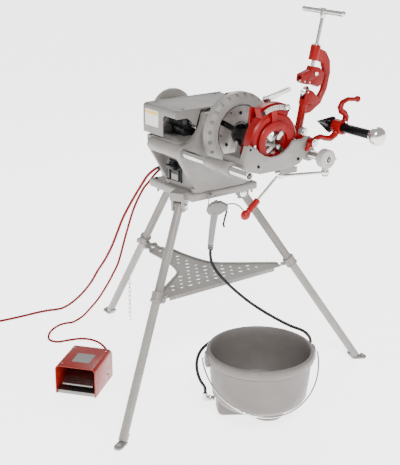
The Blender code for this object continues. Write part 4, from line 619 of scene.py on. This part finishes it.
def make_chain():
    low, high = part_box("leg_chain")
    top = Vector((-0.4140, 0, high.z - 0.003))
    links = []
    pitch, wire = 0.0165, 0.0016
    count = int((high.z - low.z - 0.018) / pitch)
    for index in range(count):
        centre = top - Z * (0.006 + index * pitch)
        side = X if index % 2 else Y
        line = []
        for step in range(20):
            turn = 2 * math.pi * step / 20
            stretch = 0.0052 if math.sin(turn) > 0 else -0.0052
            line.append(centre + side * 0.0042 * math.cos(turn) + Z * (0.0042 * math.sin(turn) + stretch))
        links.append(sweep(line, wire, 8, closed=True))
    end = top - Z * (0.006 + count * pitch - 0.002)
    hook = [end + Vector((x, 0, -z))
            for x, z in ((0, 0), (0.001, 0.004), (0.004, 0.007), (0.009, 0.007), (0.013, 0.002))]
    links.append(sweep(smooth_path(hook, 0.002), 0.0014, 8))
    add("leg_chain_shown", together(*links), "bright_steel", "chain", ("leg_chain",), angle=80)


# ---------------------------------------------------------------- head

def make_head():
    finished("base_housing", 0.0014, 2)
    shapes = []
    for x in (-0.021, 0.110):
        for side in (-1, 1):
            shapes += hex_bolt((x, side * 0.094, 0.6746), Z, 0.0070, 0.0050)
    for x, heading in ((0.1252, X), (-0.0622, -X)):
        for angle in (40, 140, 220, 320):
            turn = math.radians(angle)
            shapes.append(cap_screw((x, 0.0515 * math.cos(turn), SPINDLE_Z + 0.040 * math.sin(turn)), heading,
                                    0.0042, 0.0030))
    add("base_bolts", together(*shapes), "black_oxide", ROOT, angle=30)
    rings = []
    for x, heading in ((0.1252, X), (-0.0622, -X)):
        rings.append(turned((x, 0, SPINDLE_Z), heading, [(0, 0.0345), (0, 0.0460), (0.0012, 0.0464), (0.0030, 0.0440),
                                                        (0.0030, 0.0360), (0.0020, 0.0345)], 72))
    add("bearing_covers", together(*rings), "oiled_steel", ROOT)
    low, high = 0.826, 0.915
    x0, x1, y0, y1 = -0.074, 0.100, -0.157, 0.146
    thick = 0.0022
    outline = [(y0, low), (y0, high - 0.010), (y0 + 0.003, high - 0.003), (y0 + 0.010, high), (y1 - 0.010, high),
               (y1 - 0.003, high - 0.003), (y1, high - 0.010), (y1, high - 0.060), (y1 - thick, high - 0.060),
               (y1 - thick, high - 0.010), (y1 - 0.0045, high - 0.0045), (y1 - 0.011, high - thick),
               (y0 + 0.011, high - thick), (y0 + 0.0045, high - 0.0045), (y0 + thick, high - 0.010), (y0 + thick, low)]
    shell = slab((x0, x1), outline)
    notch = prism([(x0 + 0.105, low - 0.01), (x1 + 0.01, low - 0.01), (x1 + 0.01, high - 0.022),
                   (x0 + 0.112, high - 0.022), (x0 + 0.105, high - 0.030)], (0, y0 - 0.01, 0), X, Z, Y * 0.03)
    shell = softened(cut(shell, notch), 0.0005, 1)
    side = [(y0, high - 0.004), (y0, high - 0.024), (y0 + 0.042, high - 0.024), (y0 + 0.074, high - 0.052),
            (-0.066, high - 0.004), (-0.066, high - 0.0012), (y0 + 0.004, high - 0.0012)]
    left_side = [(y0 + 0.0005, low), (y0 + 0.030, low), (-0.067, high - 0.020), (-0.067, high - 0.0012),
                 (y0 + 0.004, high - 0.0012), (y0 + 0.0005, high - 0.005)]
    walls = [softened(slab((x1 - 0.0030, x1 - 0.0004), side), 0.0004, 1),
             softened(slab((x0 + 0.0004, x0 + 0.0030), left_side), 0.0004, 1)]
    lips = [softened(slab((x - 0.0035, x + 0.0035), [(y0 + 0.006, high - 0.001), (y1 - 0.006, high - 0.001),
                                                     (y1 - 0.006, high + 0.0016), (y0 + 0.006, high + 0.0016)]), 0.0006)
            for x in (x0 + 0.006, x1 - 0.006)]
    add("motor_cover_shown", together(shell, *walls, *lips), "cast_paint", ROOT, ("motor_cover",))
    label = plate((x0 + 0.047, y0 - 0.0001, high - 0.040), X, Z, (0.070, 0.050), 0.0008)
    add("cover_plate", label, None, ROOT, look="plate_blank")
    band = plate((x0 + 0.047, y0 - 0.0008, high - 0.023), X, Z, (0.064, 0.010), 0.0004, 0.002)
    add("cover_plate_band", band, None, ROOT, look="plate_yellow")
    screws = [cap_screw((x, y0, high - 0.040 + dz), -Y, 0.0022, 0.0018)
              for x in (x0 + 0.016, x0 + 0.078) for dz in (-0.020, 0.020)]
    screws += [cap_screw((x, y, high + 0.0002), Z, 0.0050, 0.0032)
               for x in (x0 + 0.018, x1 - 0.018) for y in (-0.12, 0.11)]
    add("cover_screws", together(*screws), "bright_steel", ROOT)
    cap = softened(block((-0.012, 0.028), (0.112, 0.142), (high - 0.0012, high + 0.0100)), 0.0045, 4)
    add("cover_catch", cap, "black_oxide", ROOT)
    finished("motor", 0.0012)
    case_low, case_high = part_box("motor")
    middle = Vector((0, (case_low.y + case_high.y) / 2, case_high.z - 0.030)) - Y * HOME.y
    fins = [pipe((x, middle.y, middle.z), (x + 0.0016, middle.y, middle.z), 0.0325, 0.0296)
            for x in (-0.024 + 0.0052 * step for step in range(13))]
    add("motor_fins", together(*fins), "black_enamel", ROOT)
    finished("switch_plate", 0.0008)
    finished("switch_knob", 0.0012)
    screws = [cap_screw((0.019 + dx, -0.1044, z), -Y, 0.0028, 0.0020) for dx in (-0.027, 0.027) for z in (0.737, 0.680)]
    add("switch_screws", together(*screws), "bright_steel", ROOT)
    label = plate((0.019, -0.1045, 0.690), X, Z, (0.036, 0.018), 0.0005, 0.002)
    add("switch_label", label, None, ROOT, look="plate_grey")
    finished("rail_front", 0.0006, 2, 50)
    finished("rail_rear", 0.0006, 2, 50)
    finished("rail_clamp", 0.0007)


def make_spindle():
    for node in ("spindle_tube", "front_bearing", "rear_bearing"):
        finished(node, 0.0004)
    finished("spindle_gear", 0.0003, 1)
    finished("motor_pinion", 0.0003, 1)
    finished("chuck_body", 0.0007)
    ring = [(0, 0.0860), (0, 0.1080), (0.0015, 0.1120), (0.0050, 0.1168), (0.0090, 0.1198), (0.0130, 0.1210),
            (0.0290, 0.1210), (0.0330, 0.1190), (0.0370, 0.1150), (0.0400, 0.1090), (0.0420, 0.1030), (0.0420, 0.0950),
            (0.0405, 0.0900), (0.0390, 0.0875), (0.0375, 0.0860)]
    body = turned((0.172, 0, SPINDLE_Z), X, ring, 144)
    tools = []
    for step in range(24):
        turn = 2 * math.pi * (step + 0.5) / 24
        place = Vector(round_spindle(0.2065, 0.1130, turn))
        heading = Vector((0.80, 0.60 * math.cos(turn), 0.60 * math.sin(turn)))
        tools.append(turned(place - heading * 0.0045, heading, [(0, 0), (0.0004, 0.0042), (0.0030, 0.0056),
                                                               (0.0140, 0.0066), (0.0140, 0)], 20))
    groove_floor, past_rim = 0.1210 - 0.0016, 0.1210 + 0.01
    tools.append(turned((0.1835, 0, SPINDLE_Z), X, [(0, groove_floor), (0, past_rim), (0.0022, past_rim),
                                                    (0.0022, groove_floor)], 144))
    body = cut(body, together(*tools))
    add("hammer_ring_shown", body, "ring_paint", "hammer_ring", ("hammer_ring",), angle=35)
    face_x = 0.2080
    # Thin black rings standing proud of the chuck face are painted shade: they darken the gap round the face plate and
    # a groove near the centre.
    shade_ring = [(0, 0.0818), (0, 0.0828), (0.0006, 0.0832), (0.0006, 0.0814)]
    shade_rings = [turned((face_x, 0, SPINDLE_Z), X, shade_ring, 96),
            turned((face_x, 0, SPINDLE_Z), X, [(0, 0.0300), (0, 0.0330), (0.0010, 0.0326), (0.0010, 0.0304)], 72)]
    add("painted_groove_shade", together(*shade_rings), "black_oxide", "spindle")
    screws = []
    for angles, distance, radius, height in (((90, 210, 330), 0.060, 0.0052, 0.0022),
                                             ((60, 120, 180, 240, 300, 0), 0.0735, 0.0026, 0.0012)):
        screws += [cap_screw(round_spindle(face_x, distance, math.radians(angle)), X, radius, height)
                   for angle in angles]
    add("face_screws", together(*screws), "black_oxide", "spindle")
    for number in (1, 2, 3):
        finished(f"chuck_jaw_{number}", 0.0010)
    hub = 0.0336
    wheel = [(0, hub), (0, 0.046), (0.003, 0.048), (0.006, 0.056), (0.0035, 0.0700), (0.0045, 0.0765), (0.0080, 0.0780),
             (0.0180, 0.0780), (0.0215, 0.0765), (0.0220, 0.0700), (0.0200, 0.056), (0.016, 0.048), (0.022, 0.046),
             (0.022, hub)]
    rim = turned((-0.156, 0, SPINDLE_Z), X, wheel, 96)
    notches = []
    for step in range(18):
        turn = 2 * math.pi * step / 18
        notches.append(rod(round_spindle(-0.170, 0.0805, turn), round_spindle(-0.120, 0.0805, turn), 0.0048,
                           segments=16))
    add("rear_wheel_shown", cut(rim, together(*notches)), "ring_paint", "rear_wheel", ("rear_wheel",), angle=32)


# ---------------------------------------------------------------- carriage and its tools

def make_carriage():
    finished("carriage", 0.0016, 3)
    shapes = []
    shapes.append(cap_screw((0.3550, -0.155, 0.795), X, 0.0045, 0.0025))
    for y, z in ((-0.080, 0.800), (0.070, 0.800)):
        shapes.append(cap_screw((0.3880, y, z), X, 0.0046, 0.0028))
    shapes.append(turned((0.3880, -0.110, 0.853), X, [(0, 0), (0, 0.0036), (0.0010, 0.0036), (0.0010, 0.0024),
                                                      (0.0004, 0.0020), (0.0004, 0)], 20))
    add("carriage_screws", together(*shapes), "black_oxide", "carriage")
    ends = []
    for x, heading in ((0.4100, X), (0.2930, -X)):
        ends += hex_bolt((x, 0.1135, 0.845), heading, 0.0085, 0.0050)
    for x, heading in ((0.3090, X), (0.2605, -X)):
        ends += hex_bolt((x, 0.165, 0.850), heading, 0.0085, 0.0045)
    add("pivot_nuts", together(*ends), "bright_steel", "carriage", angle=30)
    finished("carriage_lever", 0.0004)
    start = Vector((0.420, 0.150, 0.754))
    pin = Vector((0.372, 0.020, 0.754))
    along = (pin - start).normalized()
    slope = (along * 0.655 - Z * 0.756).normalized()
    grip_start = pin + along * 0.010 + slope * 0.088
    profile = [(0, 0.0049), (0, 0.0080)]
    for ridge in range(6):
        at = 0.003 + ridge * 0.0066
        profile += [(at, 0.0088), (at + 0.0012, 0.0104), (at + 0.0048, 0.0104), (at + 0.0060, 0.0088)]
    profile += [(0.045, 0.0088), (0.049, 0.0112), (0.054, 0.0134), (0.060, 0.0138), (0.066, 0.0122), (0.071, 0.0075),
                (0.0733, 0.0040), (0.0735, 0)]
    closed = turned(grip_start, slope, [(0, 0), *profile[1:]], 40)
    add("lever_grip_shown", closed, "grip_red", "lever", ("lever_grip",), angle=50)
    washers = pipe((0.420, 0.150, 0.7489), (0.420, 0.150, 0.7491), 0.0110, 0.0060)
    add("stud_washer", washers, "bright_steel", ROOT)


def make_die_head():
    finished("die_head", 0.0016, 3, look="tool_red")
    for number in (1, 2, 3, 4):
        finished(f"die_{number}", 0.0006)
    finished("cam_plate", 0.0006)
    finished("throw_lever", 0.0012, 3)
    for name, first, last, look in (("cam_scale", 70, 115, "clamp_paint"),
                                    ("cam_scale_end_1", 62.5, 69.6, "black_oxide"),
                                    ("cam_scale_end_2", 115.4, 121.5, "black_oxide")):
        steps = [first + (last - first) * step / 12 for step in range(13)]
        outline = [(0.1104 * math.cos(math.radians(turn)), SPINDLE_Z + 0.1104 * math.sin(math.radians(turn)))
                   for turn in steps]
        outline += [(0.0966 * math.cos(math.radians(turn)), SPINDLE_Z + 0.0966 * math.sin(math.radians(turn)))
                    for turn in reversed(steps)]
        add(name, slab((0.3698, 0.3703), outline), None, "throw_lever", look=look)
    ticks = []
    for step in range(10):
        turn = math.radians(72 + step * 4.6)
        heading = Vector((0, math.cos(turn), math.sin(turn)))
        side = Vector((0, -math.sin(turn), math.cos(turn)))
        inner, outer = (0.0985, 0.1085) if step % 3 == 0 else (0.1035, 0.1085)
        outline = [(inner, -0.0006), (outer, -0.0006), (outer, 0.0006), (inner, 0.0006)]
        ticks.append(prism(outline, (0.3703, 0, SPINDLE_Z), heading, side, X * 0.0003))
    add("cam_marks", together(*ticks), None, "throw_lever", look="black_oxide")
    places = [round_spindle(0.3640, 0.074, math.radians(angle)) for angle in (0, 90, 180)]
    places.append((0.3640, -0.060, SPINDLE_Z - 0.040))
    screws = [cap_screw(place, X, 0.0045, 0.0020) for place in places]
    add("die_head_screws", together(*screws), "bright_steel", "die_head")
    knob = turned((0.3640 + 0.0085, 0.030, SPINDLE_Z + 0.1030), X, [(0, 0), (0, 0.0050), (0.0030, 0.0050),
                                                                  (0.0040, 0.0085), (0.0090, 0.0085), (0.0100, 0.0070),
                                                                  (0.0100, 0)], 28)
    add("size_clamp_knob", knob, "bright_steel", "throw_lever")


CUTTER_LEAN = math.radians(12.9)
U = Vector((0, math.sin(CUTTER_LEAN), math.cos(CUTTER_LEAN)))
P = Vector((0, math.cos(CUTTER_LEAN), -math.sin(CUTTER_LEAN)))


def cutter_point(u, p, x=0.0):
    return Vector((0.285 + x, 0.165, 0.850)) + U * u + P * p


def make_cutter():
    finished("cutter_frame", 0.0016, 3)
    finished("cutter_slide", 0.0010)
    for node in ("cutter_wheel", "cutter_roller_1", "cutter_roller_2"):
        finished(node, 0.0003)
    profile = [(0, 0), (0, 0.0052)]
    pitch, count = 0.0030, 22
    for turn in range(count):
        at = 0.001 + turn * pitch
        profile += [(at, 0.0050), (at + pitch * 0.35, 0.0058), (at + pitch * 0.6, 0.0058), (at + pitch * 0.95, 0.0050)]
    last = 0.001 + count * pitch
    profile += [(last + 0.002, 0.0054), (0.147, 0.0054), (0.147, 0)]
    screw = turned(cutter_point(0.1965, 0), U, profile, 32)
    add("cutter_screw_shown", screw, "oiled_steel", "cutter_screw", ("cutter_screw",), angle=50)
    top = 0.358
    turn = math.radians(10.6)
    heading = X * math.cos(turn) + P * math.sin(turn)
    bar = turned(cutter_point(top, 0) - heading * 0.0760, heading,
                 [(0, 0), (0.0005, 0.0040), (0.0020, 0.0072), (0.0045, 0.0086), (0.0090, 0.0088), (0.143, 0.0088),
                  (0.1475, 0.0086), (0.150, 0.0072), (0.1515, 0.0040), (0.152, 0)], 48)
    hub = turned(cutter_point(top - 0.020, 0), U, [(0, 0), (0, 0.0074), (0.003, 0.0084), (0.018, 0.0098),
                                                   (0.028, 0.0098), (0.0295, 0.0084), (0.0295, 0)], 40)
    add("cutter_handle", together(bar, hub), "bright_steel", "cutter_screw")
    boss = turned(cutter_point(0.2585, -0.002), U, [(0, 0.0085), (0, 0.0125), (0.0025, 0.0118), (0.0025, 0.0085)], 40)
    add("screw_collar", boss, "oiled_steel", "cutter")
    pin = rod(cutter_point(0.176, 0.012, -0.0140), cutter_point(0.176, 0.012, 0.0140), 0.0060)
    add("slide_pin", pin, "bright_steel", "cutter_slide")


def make_reamer():
    finished("reamer_arm", 0.0010, 2, 45)
    y, z = 0.223, 0.876
    shaft = turned((0.3723, y, z), X, [(0, 0), (0, 0.0128), (0.0010, 0.0135), (0.0520, 0.0135), (0.0524, 0.0128),
                                       (0.0550, 0.0128), (0.0554, 0.0135), (0.1498, 0.0135), (0.1507, 0.0128),
                                       (0.1507, 0)], 48)
    add("reamer_shaft_shown", shaft, "black_oxide", "reamer", ("reamer_shaft",))
    shape = bmesh.new()
    sections = [(0.3002, 0.0006), (0.3060, 0.0030), (0.3200, 0.0080), (0.3400, 0.0160), (0.3560, 0.0224),
                (0.3640, 0.0255), (0.3690, 0.0250), (0.3720, 0.0236)]
    flutes, fine = 5, 16
    rings = []
    for along, radius in sections:
        ring = []
        for flute in range(flutes):
            for step in range(fine):
                share = step / fine
                dip = 1.0 if share < 0.36 else 1.0 - 0.34 * math.sin(math.pi * (share - 0.36) / 0.64) ** 0.6
                turn = 2 * math.pi * (flute + share) / flutes
                size = radius * dip
                ring.append(shape.verts.new((along, y + size * math.cos(turn), z + size * math.sin(turn))))
        rings.append(ring)
    for first, second in zip(rings, rings[1:]):
        for step in range(len(first)):
            after = (step + 1) % len(first)
            shape.faces.new([first[step], first[after], second[after], second[step]])
    shape.faces.new(rings[0])
    shape.faces.new(rings[-1])
    add("reamer_cone_shown", to_mesh(shape), "black_oxide", "reamer", ("reamer_cone",), angle=40)
    knob = turned((0.5233, y, z), X, [(0, 0), (0, 0.0142), (0.001, 0.0150), (0.009, 0.0150), (0.0105, 0.0165),
                                     (0.0130, 0.0235), (0.0170, 0.0264), (0.0220, 0.0275), (0.0300, 0.0272),
                                     (0.0360, 0.0245), (0.0405, 0.0190), (0.0430, 0.0110), (0.0440, 0.0050),
                                     (0.0440, 0)], 72)
    add("reamer_knob_shown", knob, "bright_steel", "reamer", ("reamer_knob",), angle=40)
    latch = rod((0.4135, y + 0.004, z + 0.0175), (0.4200, y + 0.004, z + 0.0175), 0.0038)
    add("reamer_latch", latch, "bright_steel", "reamer_arm")


# ---------------------------------------------------------------- oiler, bucket, foot switch

def make_oiler():
    finished("gun_body", 0.0009)
    finished("gun_trigger", 0.0005)
    finished("hose_fitting", 0.0005)
    ribs = [pipe((0.1400, -0.0550, 0.4755 + 0.0060 * step), (0.1400, -0.0550, 0.4785 + 0.0060 * step), 0.0092, 0.0070)
            for step in range(3)]
    add("gun_ferrule", together(*ribs), "black_rubber", ROOT)


EARS = math.radians(62.0)
LATERAL = Vector((math.cos(EARS), math.sin(EARS), 0))
REACH = Vector((math.sin(EARS), -math.cos(EARS), 0))
BUCKET = Vector((0.381, -0.047, 0))


def bucket_point(reach, lateral, z):
    return BUCKET + LATERAL * lateral + REACH * reach + Z * z


def make_bucket():
    height = 0.228
    profile = [(0.050, 0), (0.050, 0.078), (0.0535, 0.098), (0.0600, 0.1170), (0.0680, 0.1310), (0.0770, 0.1400),
               (0.0850, 0.1445), (0.1200, 0.1485), (0.1500, 0.1520), (0.1900, 0.1545), (0.1960, 0.1555),
               (0.1985, 0.1600), (0.2020, 0.1632), (0.2080, 0.1645), (0.2160, 0.1648), (0.2230, 0.1632),
               (0.2270, 0.1600), (height, 0.1570), (0.2270, 0.1530), (0.2240, 0.1508), (0.2000, 0.1485), (0.1500, 0.1460), (0.0880, 0.1385),
               (0.0760, 0.1290), (0.0660, 0.1100), (0.0590, 0.0800), (0.0580, 0)]
    tub = turned((*BUCKET.xy, 0), Z, profile, 128)
    centre = bucket_point(0, 0.026, 0)
    sump = turned(centre, Z, [(0, 0), (0, 0.0430), (0.0020, 0.0480), (0.006, 0.0510), (0.054, 0.0600), (0.054, 0)], 72)
    pocket = turned(centre + Z * 0.007, Z, [(0, 0), (0, 0.042), (0.063, 0.051), (0.063, 0)], 64)
    outlet = prism([(-0.132, 0.026), (-0.120, 0.018), (-0.010, 0.012), (-0.010, 0.056), (-0.132, 0.074)],
                   bucket_point(-0.026, 0, 0), LATERAL, Z, REACH * 0.052)
    outlet = softened(outlet, 0.009, 5)
    body = boolean(boolean(tub, sump, "UNION"), outlet, "UNION")
    ears = []
    axis_z = height - 0.022
    ear_outline = [(0.006, 0), (0.034, 0), (0.040, 0.010), (0.040, 0.036), (0.030, 0.046), (0.010, 0.046),
                   (0, 0.036), (0, 0.010)]
    for side in (-1, 1):
        corner = bucket_point(-0.020, side * 0.156, axis_z - 0.026)
        ears.append(softened(prism(ear_outline, corner, REACH, Z, LATERAL * side * 0.013), 0.0035, 3))
    body = cut(body, pocket)
    add("bucket_shown", together(body, *ears), "bucket_plastic", ROOT, ("bucket",), angle=42)
    band_z, radius = 0.1925, 0.1552
    band = turned((*BUCKET.xy, band_z), Z, [(0, radius - 0.001), (0, radius), (0.0012, radius + 0.0006),
                                            (0.0024, radius), (0.0024, radius - 0.001)], 128)
    add("bucket_band", band, "bucket_plastic", ROOT)
    bail_lean = math.radians(52.0)
    points = [bucket_point(0, -0.1655, axis_z), bucket_point(0, -0.178, axis_z)]
    for step in range(1, 48):
        angle = math.pi * step / 48
        reach = 0.205 * math.sin(angle)
        points.append(bucket_point(reach * math.sin(bail_lean), -0.178 * math.cos(angle),
                                   axis_z - reach * math.cos(bail_lean)))
    points += [bucket_point(0, 0.178, axis_z), bucket_point(0, 0.1655, axis_z)]
    add("bucket_bail_shown", sweep(points, 0.0024, 16), "bright_steel", "bucket_bail", ("bucket_bail",), angle=60)


SWITCH_TURN = math.radians(38.5)
WIDTH = Vector((math.cos(SWITCH_TURN), math.sin(SWITCH_TURN), 0))
DEPTH = Vector((-math.sin(SWITCH_TURN), math.cos(SWITCH_TURN), 0))


def switch_point(across_it, back, z):
    return Vector((-0.0585, -0.4415, z)) + WIDTH * across_it + DEPTH * back


def make_foot_switch():
    finished("foot_switch_cover", 0.0007)
    finished("foot_switch_base", 0.0010)
    finished("foot_pedal", 0.0012)
    label = plate(switch_point(0.004, 0.070, 0.0986), WIDTH, DEPTH, (0.060, 0.062), 0.0008, 0.003)
    lift = Z * 0.0012
    label.transform(Matrix.Translation(lift))
    add("foot_switch_plate", label, None, ROOT, look="plate_grey")
    screws = [cap_screw(switch_point(x, y, 0.0992), Z, 0.0030, 0.0022) for x in (-0.050, 0.056) for y in (0.020, 0.135)]
    screws += [cap_screw(switch_point(0.0680, y, 0.020), WIDTH, 0.0032, 0.0022) for y in (0.030, 0.130)]
    add("foot_switch_screws", together(*screws), "bright_steel", ROOT)
    ribs = []
    for step in range(7):
        along, rise = 0.010 * step, 0.0025 * 1.06 * step
        outline = [(0.022 + along, 0.0318 + rise), (0.026 + along, 0.0329 + rise),
                   (0.026 + along, 0.0343 + rise), (0.022 + along, 0.0332 + rise)]
        rib = prism(outline, switch_point(-0.044, 0, 0), DEPTH, Z, WIDTH * 0.088)
        ribs.append(softened(rib, 0.0004, 1))
    add("pedal_ribs", together(*ribs), "black_rubber", "foot_pedal")


# ---------------------------------------------------------------- surroundings

def make_surroundings():
    shape = bmesh.new()
    size = 14.0
    for x, y in ((-size, -size), (size, -size), (size, size), (-size, size)):
        shape.verts.new((x, y, 0))
    shape.verts.ensure_lookup_table()
    shape.faces.new(shape.verts)
    mesh = bpy.data.meshes.new("floor")
    shape.to_mesh(mesh)
    shape.free()
    glow = next(node for node in LOOK["floor"].node_tree.nodes if node.type == "BSDF_PRINCIPLED")
    glow.inputs["Emission Color"].default_value = (1.0, 1.0, 1.0, 1)
    glow.inputs["Emission Strength"].default_value = 3.0
    mesh.materials.append(LOOK["floor"])
    floor = bpy.data.objects.new("floor", mesh)
    bpy.context.scene.collection.objects.link(floor)
    world = bpy.data.worlds.new("studio")
    world.use_nodes = True
    background = next(node for node in world.node_tree.nodes if node.type == "BACKGROUND")
    background.inputs["Color"].default_value = (1.0, 1.0, 1.0, 1)
    background.inputs["Strength"].default_value = 0.72
    bpy.context.scene.world = world
    for name, place, energy, side in (("key", (3.0, -1.6, 3.2), 150.0, 0.9), ("fill", (2.6, -3.4, 1.4), 12.0, 1.6),
                                      ("rim", (-2.0, 1.8, 3.2), 60.0, 1.2)):
        lamp = bpy.data.lights.new(name, "AREA")
        lamp.energy = energy
        lamp.size = side
        item = bpy.data.objects.new(name, lamp)
        item.location = Vector(place)
        heading = Vector((0.05, 0.0, 0.55)) - item.location
        item.rotation_mode = "QUATERNION"
        item.rotation_quaternion = heading.to_track_quat("-Z", "Y")
        bpy.context.scene.collection.objects.link(item)


make_camera()
make_cords()
make_stand()
make_tray()
make_chain()
make_head()
make_spindle()
make_carriage()
make_die_head()
make_cutter()
make_reamer()
make_oiler()
make_bucket()
make_foot_switch()
make_surroundings()

for node, item in frame["nodes"].items():
    item.data.materials.clear()
    item.data.materials.append(LOOK[SLOT_OF[node]])
